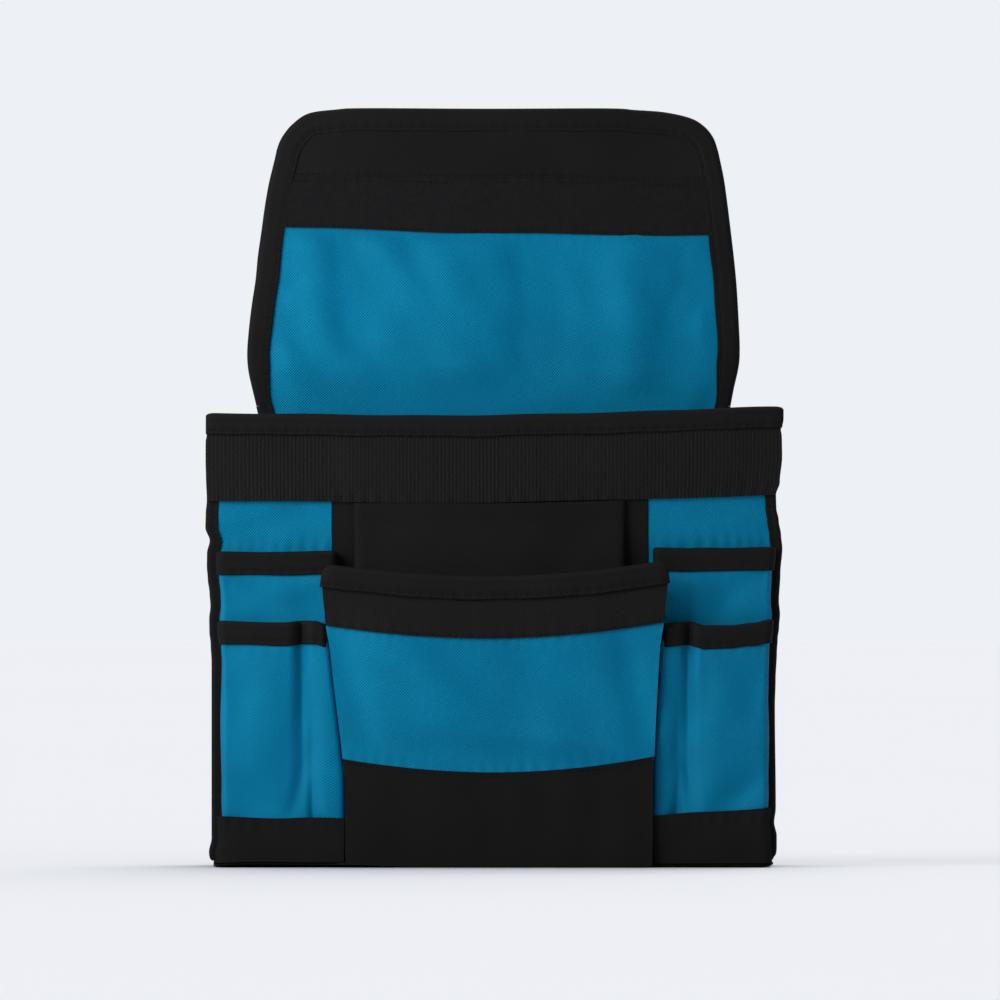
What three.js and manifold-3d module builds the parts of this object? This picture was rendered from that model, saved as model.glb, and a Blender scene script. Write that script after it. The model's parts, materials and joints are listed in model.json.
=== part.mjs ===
import * as THREE from "three";
import { mergeVertices } from "three/addons/utils/BufferGeometryUtils.js";
import Module from "manifold-3d";

// A flap-top organiser pouch sewn from woven cloth: one main compartment with boarded back and base, a
// gusseted centre pocket with a slip pocket behind it, two pockets one before the other on each side, and
// a flap that folds at the mouth and again part of the way up.
// Millimetres, +Z up, the front faces -Y. The origin is under the middle of the pouch, where it stands.
// Places from the back to the front are given as a depth: 0 at the back face, growing towards the front.

// Driving dimensions
const POUCH_WIDTH = 314;
const POUCH_HEIGHT = 249.5;
const COMPARTMENT_DEPTH = 39.8; // room inside the main compartment
const OVERALL_DEPTH = 75.9; // from the back face to the centre pocket's bound mouth
const OVERALL_HEIGHT = 417; // with the flap up
const CLOTH = 1; // a single layer with its coating and turned edges
const PANEL = 1.2; // the heavier cloth of the outer panels
const LINING_CLOTH = 0.8;
const TAPE_LEAF = 1.2; // one side of a folded binding tape
const TAPE_WIDTH = 12.5; // a folded 25 mm binding tape
const HEM_LEAF = 0.8;
const HEM_HEIGHT = 9;
const WEBBING_THICKNESS = 1.7;
const NARROW_WEBBING_THICKNESS = 1.4;
const GAP = 0.3; // between pieces that touch

// Depths of the layers, from the back face forwards. A pair is where a layer begins and ends.
const BACK_BOARD_DEPTH = [1.5, 3.1];
const BACK_LINING_DEPTH = [3.4, 3.4 + LINING_CLOTH];
const FRONT_INSIDE = BACK_LINING_DEPTH[1] + COMPARTMENT_DEPTH;
const FRONT_DEPTH = [FRONT_INSIDE, FRONT_INSIDE + PANEL];
const ON_FRONT = FRONT_DEPTH[1] + GAP; // where pieces on the front panel begin
const SLIP_DEPTH = 54; // middle of the slip pocket's cloth
const UPPER_DEPTH = 55; // middle of the upper side pockets' cloth
const LOWER_DEPTH = 67.3; // middle of the lower side pockets' cloth
const PLEAT_DEPTH = 61.2; // where the pleat folds
const CENTRE_FACE_DEPTH = [71.5, 71.5 + PANEL];

// Heights
const ON_FLOOR_CLOTH = PANEL + GAP; // where the walls begin
const FLOOR_BOARD_TOP = 3.5;
const WALL_TOP = 248; // raw edge of the front panel, inside its tape
const WEBBING_BOTTOM = 200.8;
const MOUTH_TAPE_BOTTOM = POUCH_HEIGHT - 10.8;
const SLIP_TOP = 197.5;
const UPPER_TOP = 173;
const LOWER_TOP = 135;
const FOOT_BAND_TOP = 27;
const CENTRE_MOUTH = 161; // top of the centre pocket's tape in the middle, where it sags lowest
const CENTRE_MOUTH_RISE = 6.5; // how much higher the mouth is at its ends
const CENTRE_WEBBING_WIDTH = 21.5; // what shows of a 25 mm webbing under the tape
const FOOT_SEAM = 52; // seam between the centre pocket's blue face and its black foot, in the middle
const FOOT_SEAM_RISE = 7;
const CENTRE_GUSSET_TOP = 153.5;

// Half widths, left and right of the middle
const SEAM_TAPE_INSIDE = 151.5;
const SHOULDER_INSIDE = 131; // the back's top edge is bound from here outwards, beside the flap
const BACK_BOARD_HALF = 148;
const FLOOR_BOARD_HALF = 143;
const PANEL_SEAM = 87; // seams of the front panel's black middle
const SLIP_HALF = 75;
const CENTRE_GUSSET = 84.2;
const CENTRE_GUSSET_FLARE = [0.8, 4.8]; // how far its front edge leans out, at its foot and its top
const CENTRE_FACE_HALF_FOOT = 85;
const CENTRE_FACE_HALF_MOUTH = 92.5;
const SIDE_POCKET_OUTER = 151;
const UPPER_POCKET_INNER = [87.5, 88.5]; // at its foot and its top
const LOWER_POCKET_INNER = [87.2, 91.8];
const LOWER_POCKET_INNER_BACK = [87.2, 89.8];
const PLEAT_FOLD = [102, 106.5];
const PLEAT_HALF = 6;
const GUSSET_FOLD = 9; // how far the side gusset's fold lies inwards of its seams
const SEAM_TAPE_HALF = 5;

// The flap, measured from its first fold
const FOLD_HEIGHT = 256;
const FLAP_MIDDLE_DEPTH = 2.7;
const SECOND_FOLD = 50; // from the first fold to the second
const FOLD_CLEARANCE = 3; // bare length left on each side of a fold
const FLAP_CLOTH_DEPTH = [1.1, 1.9];
const FLAP_BOARD_DEPTH = [2.2, 3.2];
const FLAP_LINING_DEPTH = [3.5, 4.3];
const FLAP_STRIP_DEPTH = [4.6, 5.4];
const FLAP_TAPE_DEPTH = [0, 5.4];
const FLAP_TAPE_LEAF = 0.8;
const FLAP_TAPE_WIDTH = 12;
const STRIP_SEAM = 123.5; // between the soft fastening strip and the tip facing
const STRIP_BOTTOM = 96;
const FLAP_BOARD_HALF = 104;
const FLAP_BOARD_RANGE = [SECOND_FOLD + 8, 145];

const BACK_Y = OVERALL_DEPTH / 2;
const HALF_WIDTH = POUCH_WIDTH / 2;
const FLAP_LENGTH = OVERALL_HEIGHT - FOLD_HEIGHT;
const PAST = 20; // how far a cutting shape reaches past what it cuts

const matt = (color, roughness) => new THREE.MeshStandardMaterial({ color, roughness, metalness: 0 });
const BLACK_CLOTH = matt(0x1b1b1b, 0.8);
const BLUE_CLOTH = matt(0x0b74a6, 0.62);
const WEBBING = matt(0x191919, 0.85);
const TAPE = matt(0x1d1d1d, 0.75);
const SOFT_STRIP = matt(0x1f1f1f, 0.95);
const LINING = matt(0x202224, 0.7);
const BOARD = matt(0x3a3d40, 0.6);

const wasm = await Module();
wasm.setup();

// Joining and cutting closed meshes

function solidOf(geometry) {
  const bare = geometry.index ? geometry.toNonIndexed() : geometry.clone();
  for (const name of Object.keys(bare.attributes)) {
    if (name !== "position") bare.deleteAttribute(name);
  }
  const merged = mergeVertices(bare);
  const vertProperties = merged.attributes.position.array;
  const triVerts = new Uint32Array(merged.index.array);
  return new wasm.Manifold(new wasm.Mesh({ numProp: 3, vertProperties, triVerts }));
}

function geometryOf(solid) {
  const mesh = solid.getMesh();
  const geometry = new THREE.BufferGeometry();
  geometry.setAttribute("position", new THREE.BufferAttribute(new Float32Array(mesh.vertProperties), 3));
  geometry.setIndex(new THREE.BufferAttribute(new Uint32Array(mesh.triVerts), 1));
  geometry.computeVertexNormals();
  return geometry;
}

const subtract = (from, ...cuts) =>
  geometryOf(cuts.reduce((left, cut) => left.subtract(solidOf(cut)), solidOf(from)));

const intersect = (a, b) => geometryOf(solidOf(a).intersect(solidOf(b)));

// Shapes that the pieces are made from. Each takes depths and heights, and stands in the pouch's frame.

const point = (x, y) => new THREE.Vector2(x, y);

// A flat piece that faces the front: an outline of [x, height] points, between two depths.
function plate(outline, [back, front]) {
  const shape = new THREE.Shape(outline.map(([x, z]) => point(x, z)));
  const geometry = new THREE.ExtrudeGeometry(shape, { depth: front - back, bevelEnabled: false });
  return geometry.rotateX(Math.PI / 2).translate(0, BACK_Y - back, 0);
}

const rectangle = (left, right, low, high) => [[left, low], [right, low], [right, high], [left, high]];

// A flat piece that lies on the floor: an outline of [x, depth] points, between two heights.
function floorPlate(outline, low, high) {
  const shape = new THREE.Shape(outline.map(([x, depth]) => point(x, BACK_Y - depth)));
  return new THREE.ExtrudeGeometry(shape, { depth: high - low, bevelEnabled: false }).translate(0, 0, low);
}

// The corners of a path rounded off, each with a short curve.
function rounded(path, radius = 4, steps = 3) {
  return path.flatMap((corner, i) => {
    if (i === 0 || i === path.length - 1) return [point(...corner)];
    const [before, here, after] = [path[i - 1], corner, path[i + 1]].map((p) => point(...p));
    const towards = (other) => here.clone().add(other.clone().sub(here).setLength(radius));
    return new THREE.QuadraticBezierCurve(towards(before), here, towards(after)).getPoints(steps);
  });
}

// A path with both of its ends carried on by a length.
function lengthened(path, length) {
  const carriedOn = (end, next) => {
    const [from, towards] = [point(...next), point(...end)];
    const beyond = towards.clone().add(towards.clone().sub(from).setLength(length));
    return [beyond.x, beyond.y];
  };
  const last = path.length - 1;
  return [carriedOn(path[0], path[1]), ...path.slice(1, last), carriedOn(path[last], path[last - 1])];
}

// A path moved sideways, with mitred corners.
function offset(path, distance) {
  return path.map((here, i) => {
    const into = i > 0 ? here.clone().sub(path[i - 1]).normalize() : undefined;
    const out = i < path.length - 1 ? path[i + 1].clone().sub(here).normalize() : undefined;
    const [a, b] = [into ?? out, out ?? into];
    const normal = point(-a.y - b.y, a.x + b.x).normalize();
    return here.clone().addScaledVector(normal, distance / Math.sqrt((1 + a.dot(b)) / 2));
  });
}

// An upright wall of one thickness that stands on a path of [x, depth] points. The path at its top may differ
// from the path at its foot, so the wall can lean.
function wall(footPath, topPath, thickness, low, high) {
  const outlines = [footPath, topPath].map((path) => {
    const flat = rounded(path).map((p) => point(p.x, BACK_Y - p.y));
    return [...offset(flat, thickness / 2), ...offset(flat, -thickness / 2).reverse()];
  });
  if (THREE.ShapeUtils.isClockWise(outlines[0])) outlines.forEach((outline) => outline.reverse());
  const count = outlines[0].length;
  const vertices = outlines.flatMap((outline, i) => outline.flatMap((p) => [p.x, p.y, i ? high : low]));
  const sides = outlines[0].flatMap((_, i) => {
    const j = (i + 1) % count;
    return [i, j, count + j, i, count + j, count + i];
  });
  const caps = outlines.flatMap((outline, level) =>
    THREE.ShapeUtils.triangulateShape(outline, []).flatMap(([a, b, c]) =>
      level ? [count + a, count + b, count + c] : [a, c, b],
    ),
  );
  const geometry = new THREE.BufferGeometry();
  geometry.setAttribute("position", new THREE.Float32BufferAttribute(vertices, 3));
  geometry.setIndex([...sides, ...caps]);
  geometry.computeVertexNormals();
  return geometry;
}

// The path part of the way between a wall's foot and its top.
function between(footPath, topPath, share) {
  return footPath.map(([x, depth], i) => [
    x + (topPath[i][0] - x) * share,
    depth + (topPath[i][1] - depth) * share,
  ]);
}

// A folded tape over the top edge of a cloth wall: a thicker wall with a slot from below for the cloth.
function wallTape(footPath, topPath, wallLow, foldTop) {
  const wallHigh = foldTop - TAPE_LEAF - GAP;
  const at = (z) => between(footPath, topPath, (z - wallLow) / (wallHigh - wallLow));
  const low = foldTop - TAPE_WIDTH;
  const slotWidth = CLOTH + 2 * GAP;
  const slotTop = foldTop - TAPE_LEAF;
  const tape = wall(at(low), at(foldTop), slotWidth + 2 * TAPE_LEAF, low, foldTop);
  const slotPaths = [low - 1, slotTop].map((z) => lengthened(at(z), 1));
  return subtract(tape, wall(...slotPaths, slotWidth, low - 1, slotTop));
}

// A strip folded over the top edge of flat layers that lie between two depths: an outline with a slot in it.
function foldedStrip(outline, slotOutline, [back, front], leaf) {
  const slot = [back - GAP, front + GAP];
  return subtract(plate(outline, [slot[0] - leaf, slot[1] + leaf]), plate(slotOutline, slot));
}

const mirrored = (path, side) => path.map(([x, other]) => [x * side, other]);

const pouch = new THREE.Group();

function add(name, geometry, material, parent = pouch) {
  const mesh = new THREE.Mesh(geometry, material);
  mesh.name = name;
  parent.add(mesh);
  return mesh;
}

// Left and right are as seen from the front.
const SIDES = { left: -1, right: 1 };

// Back: outer cloth, a stiffening board and a lining. Its top is bound on both sides of the flap.
const SHOULDER_BOTTOM = POUCH_HEIGHT - TAPE_WIDTH;
const SHOULDER_TOP = POUCH_HEIGHT - 0.9;
const BACK_TOP = FOLD_HEIGHT - FOLD_CLEARANCE - 1.8;
const shouldered = (half) => [
  [-half, ON_FLOOR_CLOTH],
  [half, ON_FLOOR_CLOTH],
  [half, SHOULDER_BOTTOM - GAP],
  [SHOULDER_INSIDE, SHOULDER_BOTTOM - GAP],
  [SHOULDER_INSIDE, BACK_TOP],
  [-SHOULDER_INSIDE, BACK_TOP],
  [-SHOULDER_INSIDE, SHOULDER_BOTTOM - GAP],
  [-half, SHOULDER_BOTTOM - GAP],
];
add("back_panel", plate(shouldered(SEAM_TAPE_INSIDE - GAP), [0, PANEL]), BLACK_CLOTH);
const backBoard = rectangle(-BACK_BOARD_HALF, BACK_BOARD_HALF, 6, SHOULDER_BOTTOM - 3);
add("back_board", plate(backBoard, BACK_BOARD_DEPTH), BOARD);
add("back_lining", plate(shouldered(SEAM_TAPE_INSIDE - 1), BACK_LINING_DEPTH), LINING);
for (const [name, side] of Object.entries(SIDES)) {
  const outline = rectangle(SHOULDER_INSIDE + GAP, HALF_WIDTH, SHOULDER_BOTTOM, SHOULDER_TOP);
  add(`shoulder_tape_${name}`, plate(mirrored(outline, side), [0, BACK_LINING_DEPTH[1]]), TAPE);
}

// Base: the floor cloth runs under every pocket, and a board and a lining lie inside the main compartment.
const floorFront = LOWER_DEPTH + 2; // under the side pockets
const floorCentreFront = CENTRE_FACE_DEPTH[1];
const floorOutline = [
  [-HALF_WIDTH, 0],
  [HALF_WIDTH, 0],
  [HALF_WIDTH, floorFront],
  [CENTRE_FACE_HALF_FOOT, floorFront],
  [CENTRE_FACE_HALF_FOOT, floorCentreFront],
  [-CENTRE_FACE_HALF_FOOT, floorCentreFront],
  [-CENTRE_FACE_HALF_FOOT, floorFront],
  [-HALF_WIDTH, floorFront],
];
const insideDepth = [BACK_LINING_DEPTH[1] + GAP + 0.5, FRONT_DEPTH[0] - GAP - 0.5];
const insideFloor = rectangle(-FLOOR_BOARD_HALF, FLOOR_BOARD_HALF, ...insideDepth);
const floorLiningBottom = FLOOR_BOARD_TOP + GAP;
add("base_panel", floorPlate(floorOutline, 0, PANEL), BLACK_CLOTH);
add("base_board", floorPlate(insideFloor, ON_FLOOR_CLOTH, FLOOR_BOARD_TOP), BOARD);
add("base_lining", floorPlate(insideFloor, floorLiningBottom, floorLiningBottom + LINING_CLOTH), LINING);

// Front wall of the main compartment: a black middle between two blue panels, with taped seams inside.
const middlePanel = rectangle(GAP / 2 - PANEL_SEAM, PANEL_SEAM - GAP / 2, ON_FLOOR_CLOTH, WALL_TOP);
add("front_panel_centre", plate(middlePanel, FRONT_DEPTH), BLACK_CLOTH);
for (const [name, side] of Object.entries(SIDES)) {
  const outline = rectangle(PANEL_SEAM + GAP / 2, SEAM_TAPE_INSIDE - GAP, ON_FLOOR_CLOTH, WALL_TOP);
  add(`front_panel_${name}`, plate(mirrored(outline, side), FRONT_DEPTH), BLUE_CLOTH);
  const [inner, outer] = [PANEL_SEAM - SEAM_TAPE_HALF, PANEL_SEAM + SEAM_TAPE_HALF];
  const seamTape = mirrored(rectangle(inner, outer, 6, MOUTH_TAPE_BOTTOM - 2), side);
  add(`panel_seam_tape_${name}`, plate(seamTape, [FRONT_DEPTH[0] - 0.8, FRONT_DEPTH[0] - GAP]), TAPE);
}

// Side gussets with a middle fold that goes inwards, and the tapes that bind their front and back seams.
for (const [name, side] of Object.entries(SIDES)) {
  const edge = (SEAM_TAPE_INSIDE + HALF_WIDTH) / 2;
  const [back, front] = [BACK_LINING_DEPTH[1] + 1.3, FRONT_DEPTH[0] - 2.9];
  const path = mirrored([[edge, front], [edge - GUSSET_FOLD, (front + back) / 2], [edge, back]], side);
  const gussetTop = WALL_TOP - 2;
  add(`side_gusset_${name}`, wall(path, path, CLOTH, ON_FLOOR_CLOTH, gussetTop), BLACK_CLOTH);
  const gussetTape = wallTape(path, path, ON_FLOOR_CLOTH, gussetTop + TAPE_LEAF + GAP);
  add(`gusset_tape_${name}`, gussetTape, TAPE);
  const seamTo = (top) => mirrored(rectangle(SEAM_TAPE_INSIDE, HALF_WIDTH, ON_FLOOR_CLOTH, top), side);
  const frontSeam = plate(seamTo(MOUTH_TAPE_BOTTOM - GAP), [FRONT_DEPTH[0] - 1.6, FRONT_DEPTH[1]]);
  add(`front_seam_tape_${name}`, frontSeam, TAPE);
  add(`back_seam_tape_${name}`, plate(seamTo(SHOULDER_BOTTOM - GAP), [0, 3.6]), TAPE);
}

// Mouth of the main compartment: wide ribbed webbing across the front, and a folded tape over the edge.
const WEBBING_DEPTH = [ON_FRONT, ON_FRONT + WEBBING_THICKNESS];
const mouthWebbing = rectangle(-HALF_WIDTH, HALF_WIDTH, WEBBING_BOTTOM, WALL_TOP);
add("mouth_webbing", plate(mouthWebbing, WEBBING_DEPTH), WEBBING);
const mouthLayers = [FRONT_DEPTH[0], WEBBING_DEPTH[1]];
const mouthTape = rectangle(-HALF_WIDTH, HALF_WIDTH, MOUTH_TAPE_BOTTOM, POUCH_HEIGHT);
const mouthSlot = rectangle(-HALF_WIDTH - 1, HALF_WIDTH + 1, MOUTH_TAPE_BOTTOM - 1, POUCH_HEIGHT - TAPE_LEAF);
add("mouth_tape", foldedStrip(mouthTape, mouthSlot, mouthLayers, TAPE_LEAF), TAPE);

// Slip pocket: a flat black pocket on the middle of the front panel, behind the centre pocket.
const slipPath = [
  [SLIP_HALF, ON_FRONT],
  [SLIP_HALF, SLIP_DEPTH],
  [-SLIP_HALF, SLIP_DEPTH],
  [-SLIP_HALF, ON_FRONT],
];
const slipWall = wall(slipPath, slipPath, CLOTH, ON_FLOOR_CLOTH, SLIP_TOP - HEM_LEAF - GAP);
add("slip_pocket", slipWall, BLACK_CLOTH);
const hemHalf = SLIP_HALF - 5;
const hemBottom = SLIP_TOP - HEM_HEIGHT;
const hem = rectangle(-hemHalf, hemHalf, hemBottom, SLIP_TOP);
const hemSlot = rectangle(-hemHalf - 1, hemHalf + 1, hemBottom - 1, SLIP_TOP - HEM_LEAF);
const slipLayer = [SLIP_DEPTH - CLOTH / 2, SLIP_DEPTH + CLOTH / 2];
add("slip_pocket_hem", foldedStrip(hem, hemSlot, slipLayer, HEM_LEAF), BLACK_CLOTH);

// Side pockets, two deep on each side. The lower one has a pleat, and its walls lean out with the centre
// pocket's gusset. A black band covers both pockets' feet.
const onUpper = UPPER_DEPTH + CLOTH / 2 + GAP + 0.1; // a little more, because the wall leans here
const upperPath = (inner) => [
  [SIDE_POCKET_OUTER, ON_FRONT],
  [SIDE_POCKET_OUTER, UPPER_DEPTH],
  [inner, UPPER_DEPTH],
  [inner, ON_FRONT],
];
const lowerPath = (pleat, inner, innerBack) => [
  [SIDE_POCKET_OUTER, onUpper],
  [SIDE_POCKET_OUTER, LOWER_DEPTH],
  [pleat + PLEAT_HALF, LOWER_DEPTH],
  [pleat, PLEAT_DEPTH],
  [pleat - PLEAT_HALF, LOWER_DEPTH],
  [inner, LOWER_DEPTH],
  [innerBack, onUpper],
];
for (const [name, side] of Object.entries(SIDES)) {
  const footAndTop = [0, 1];
  const upper = footAndTop.map((i) => mirrored(upperPath(UPPER_POCKET_INNER[i]), side));
  const upperWall = wall(...upper, CLOTH, ON_FLOOR_CLOTH, UPPER_TOP - TAPE_LEAF - GAP);
  add(`upper_pocket_${name}`, upperWall, BLUE_CLOTH);
  add(`upper_pocket_tape_${name}`, wallTape(...upper, ON_FLOOR_CLOTH, UPPER_TOP), TAPE);

  const lower = footAndTop.map((i) =>
    mirrored(lowerPath(PLEAT_FOLD[i], LOWER_POCKET_INNER[i], LOWER_POCKET_INNER_BACK[i]), side),
  );
  const lowerWall = wall(...lower, CLOTH, ON_FLOOR_CLOTH, LOWER_TOP - TAPE_LEAF - GAP);
  add(`lower_pocket_${name}`, lowerWall, BLUE_CLOTH);
  add(`lower_pocket_tape_${name}`, wallTape(...lower, ON_FLOOR_CLOTH, LOWER_TOP), TAPE);

  const bandDepth = LOWER_DEPTH + CLOTH / 2 + GAP + PANEL / 2;
  const bandOuter = SIDE_POCKET_OUTER + 2.6;
  const band = mirrored([[bandOuter, ON_FRONT], [bandOuter, bandDepth], [PANEL_SEAM, bandDepth]], side);
  add(`foot_band_${name}`, wall(band, band, PANEL, ON_FLOOR_CLOTH, FOOT_BAND_TOP), BLACK_CLOTH);
}

// Centre pocket: two gussets, a blue face over a black foot, webbing and a folded tape at the sagging mouth.
const gussetFront = CENTRE_FACE_DEPTH[0] - GAP;
const SEAM_LEG = 4.2; // cloth that runs straight on from each of the gusset's seams
for (const [name, side] of Object.entries(SIDES)) {
  const [foot, top] = CENTRE_GUSSET_FLARE.map((flare) =>
    mirrored(
      [
        [CENTRE_GUSSET, ON_FRONT],
        [CENTRE_GUSSET, ON_FRONT + SEAM_LEG],
        [CENTRE_GUSSET + flare, gussetFront - SEAM_LEG],
        [CENTRE_GUSSET + flare, gussetFront],
      ],
      side,
    ),
  );
  add(`centre_gusset_${name}`, wall(foot, top, CLOTH, ON_FLOOR_CLOTH, CENTRE_GUSSET_TOP), BLUE_CLOTH);
}

// Half the face's width at a height: upright up to the seam, then leaning out to the mouth.
function faceHalf(z) {
  const share = THREE.MathUtils.clamp((z - FOOT_SEAM) / (CENTRE_MOUTH - FOOT_SEAM), 0, 1.1);
  return CENTRE_FACE_HALF_FOOT + (CENTRE_FACE_HALF_MOUTH - CENTRE_FACE_HALF_FOOT) * share;
}

// A line across the pocket that rises towards its ends as a parabola, and reaches past them by a length.
function sagLine(middle, rise, past = 0, steps = 12) {
  return Array.from({ length: steps + 1 }, (_, i) => {
    const share = (2 * i) / steps - 1;
    const height = middle + rise * share * share;
    return [share * (faceHalf(height) + past), height];
  });
}

// A piece between two such lines.
const sagStrip = (low, high, lowRise = CENTRE_MOUTH_RISE, past = 0) => [
  ...sagLine(low, lowRise, past),
  ...sagLine(high, CENTRE_MOUTH_RISE, past).reverse(),
];
const faceTop = CENTRE_MOUTH - TAPE_LEAF - GAP;
const centreTapeBottom = CENTRE_MOUTH - TAPE_WIDTH;
const onFace = CENTRE_FACE_DEPTH[1] + GAP;
const webbingFront = onFace + NARROW_WEBBING_THICKNESS;
const footOutline = [
  [-CENTRE_FACE_HALF_FOOT, ON_FLOOR_CLOTH],
  [CENTRE_FACE_HALF_FOOT, ON_FLOOR_CLOTH],
  ...sagLine(FOOT_SEAM - GAP, FOOT_SEAM_RISE).reverse(),
];
add("centre_foot", plate(footOutline, CENTRE_FACE_DEPTH), BLACK_CLOTH);
const faceOutline = sagStrip(FOOT_SEAM, faceTop, FOOT_SEAM_RISE);
add("centre_face", plate(faceOutline, CENTRE_FACE_DEPTH), BLUE_CLOTH);
const webbingOutline = sagStrip(centreTapeBottom - CENTRE_WEBBING_WIDTH, faceTop);
add("centre_webbing", plate(webbingOutline, [onFace, webbingFront]), WEBBING);
const centreTape = sagStrip(centreTapeBottom, CENTRE_MOUTH);
const centreSlot = sagStrip(centreTapeBottom - 1, CENTRE_MOUTH - TAPE_LEAF, CENTRE_MOUTH_RISE, 2);
const centreLayers = [CENTRE_FACE_DEPTH[0], webbingFront];
add("centre_tape", foldedStrip(centreTape, centreSlot, centreLayers, TAPE_LEAF), TAPE);

// Flap: outer cloth, board, blue lining, a soft fastening strip and a facing at the tip, and a tape round the
// edge. Half of its outline runs from the first fold to the middle of the tip, and the other half mirrors it.
const flapEdge = new THREE.SplineCurve(
  [
    [128.5, 0],
    [133.5, 25],
    [132.5, 59],
    [128, 102],
    [122.5, 137],
    [117.5, 150.5],
    [107, 158.5],
    [88, 161],
    [0, FLAP_LENGTH],
  ].map((p) => point(...p)),
).getPoints(40);

function flapOutline(inset) {
  const edge = offset(flapEdge, inset).map((p) => [p.x, p.y]);
  edge[edge.length - 1][0] = 0;
  return [...edge, ...mirrored(edge, -1).reverse().slice(1)];
}

// The flap's own frame has its origin on the first fold, so its pieces turn about it.
const flapPlate = (outline, depths) => plate(outline, depths).translate(0, FLAP_MIDDLE_DEPTH - BACK_Y, 0);
const flapSheet = (inset, depths) => flapPlate(flapOutline(inset), depths);
const flapRange = (geometry, low, high) =>
  intersect(geometry, flapPlate(rectangle(-HALF_WIDTH, HALF_WIDTH, low, high), [-PAST, PAST]));
const rootRange = (geometry) => flapRange(geometry, FOLD_CLEARANCE, SECOND_FOLD - FOLD_CLEARANCE);
const tongueRange = (geometry) =>
  flapRange(geometry, SECOND_FOLD + FOLD_CLEARANCE, FLAP_LENGTH + PAST).translate(0, 0, -SECOND_FOLD);

const flapRoot = new THREE.Group();
flapRoot.position.set(0, BACK_Y - FLAP_MIDDLE_DEPTH, FOLD_HEIGHT);
pouch.add(flapRoot);
const flapTongue = new THREE.Group();
flapTongue.position.set(0, 0, SECOND_FOLD);
flapRoot.add(flapTongue);

const sheetInset = FLAP_TAPE_LEAF + GAP;
const slotDepth = [FLAP_TAPE_DEPTH[0] + FLAP_TAPE_LEAF, FLAP_TAPE_DEPTH[1] - FLAP_TAPE_LEAF];
const flapCloth = flapSheet(sheetInset, FLAP_CLOTH_DEPTH);
const flapLining = flapSheet(sheetInset, FLAP_LINING_DEPTH);
const flapTape = subtract(
  flapSheet(0, FLAP_TAPE_DEPTH),
  flapSheet(FLAP_TAPE_WIDTH, [-PAST, PAST]),
  flapSheet(FLAP_TAPE_LEAF, slotDepth),
);

add("flap_root_cloth", rootRange(flapCloth), BLACK_CLOTH, flapRoot);
add("flap_root_lining", rootRange(flapLining), BLUE_CLOTH, flapRoot);
for (const [name, side] of Object.entries(SIDES)) {
  const half = flapPlate(mirrored(rectangle(GAP, HALF_WIDTH, -PAST, FLAP_LENGTH), side), [-PAST, PAST]);
  add(`flap_root_tape_${name}`, rootRange(intersect(flapTape, half)), TAPE, flapRoot);
}

add("flap_tongue_cloth", tongueRange(flapCloth), BLACK_CLOTH, flapTongue);
add("flap_tongue_lining", tongueRange(flapLining), BLUE_CLOTH, flapTongue);
add("flap_tongue_tape", tongueRange(flapTape), TAPE, flapTongue);
const boardOutline = rectangle(-FLAP_BOARD_HALF, FLAP_BOARD_HALF, ...FLAP_BOARD_RANGE);
add("flap_board", flapPlate(boardOutline, FLAP_BOARD_DEPTH).translate(0, 0, -SECOND_FOLD), BOARD, flapTongue);
const insideTape = flapSheet(FLAP_TAPE_WIDTH + GAP, FLAP_STRIP_DEPTH);
const onTongue = (low, high) => flapRange(insideTape, low, high).translate(0, 0, -SECOND_FOLD);
add("flap_soft_strip", onTongue(STRIP_BOTTOM, STRIP_SEAM - GAP / 2), SOFT_STRIP, flapTongue);
add("flap_tip_facing", onTongue(STRIP_SEAM + GAP / 2, FLAP_LENGTH), BLACK_CLOTH, flapTongue);

export default pouch;
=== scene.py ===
import json
import math
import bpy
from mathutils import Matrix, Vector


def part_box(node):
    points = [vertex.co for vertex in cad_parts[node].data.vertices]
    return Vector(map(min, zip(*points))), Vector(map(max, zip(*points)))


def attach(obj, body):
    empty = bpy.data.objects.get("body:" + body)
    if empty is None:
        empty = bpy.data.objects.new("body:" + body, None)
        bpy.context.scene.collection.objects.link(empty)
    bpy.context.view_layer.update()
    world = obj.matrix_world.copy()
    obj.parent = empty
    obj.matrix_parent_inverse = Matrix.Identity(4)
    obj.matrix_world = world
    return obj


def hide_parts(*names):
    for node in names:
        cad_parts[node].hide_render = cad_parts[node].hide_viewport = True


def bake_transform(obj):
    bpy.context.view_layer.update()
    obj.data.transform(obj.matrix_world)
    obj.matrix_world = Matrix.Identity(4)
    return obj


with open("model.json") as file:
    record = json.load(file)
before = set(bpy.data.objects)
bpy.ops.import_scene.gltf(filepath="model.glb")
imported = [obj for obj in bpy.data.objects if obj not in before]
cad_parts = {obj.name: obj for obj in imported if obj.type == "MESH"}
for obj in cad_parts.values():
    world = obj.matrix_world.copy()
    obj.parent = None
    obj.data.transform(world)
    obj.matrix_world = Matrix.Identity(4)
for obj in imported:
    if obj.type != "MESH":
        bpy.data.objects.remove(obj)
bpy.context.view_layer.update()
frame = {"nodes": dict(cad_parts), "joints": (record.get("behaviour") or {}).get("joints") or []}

from types import SimpleNamespace

import bpy
import numpy as np
from mathutils import Vector


# ---------------------------------------------------------------------------------------------------------
# Studio. A long lens looks level at the front. A sheet of pale paper is the floor and the air behind is as
# pale as the paper. A broad soft light stands to the upper left, and weaker ones to the right, above and behind.

MM = 0.001
BACK_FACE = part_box("back_panel")[1].y / MM


def span(node):
    """Where a CAD node reaches, in millimetres."""
    low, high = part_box(node)
    return SimpleNamespace(
        left=low.x / MM, right=high.x / MM,
        back=BACK_FACE - high.y / MM, front=BACK_FACE - low.y / MM,
        low=low.z / MM, high=high.z / MM,
    )


def place(x, depth, z):
    """Points in metres, in the CAD's frame, from millimetre arrays of any one shape."""
    x, depth, z = np.broadcast_arrays(x, depth, z)
    return np.stack([x, BACK_FACE - depth, z], -1) * MM


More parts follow.
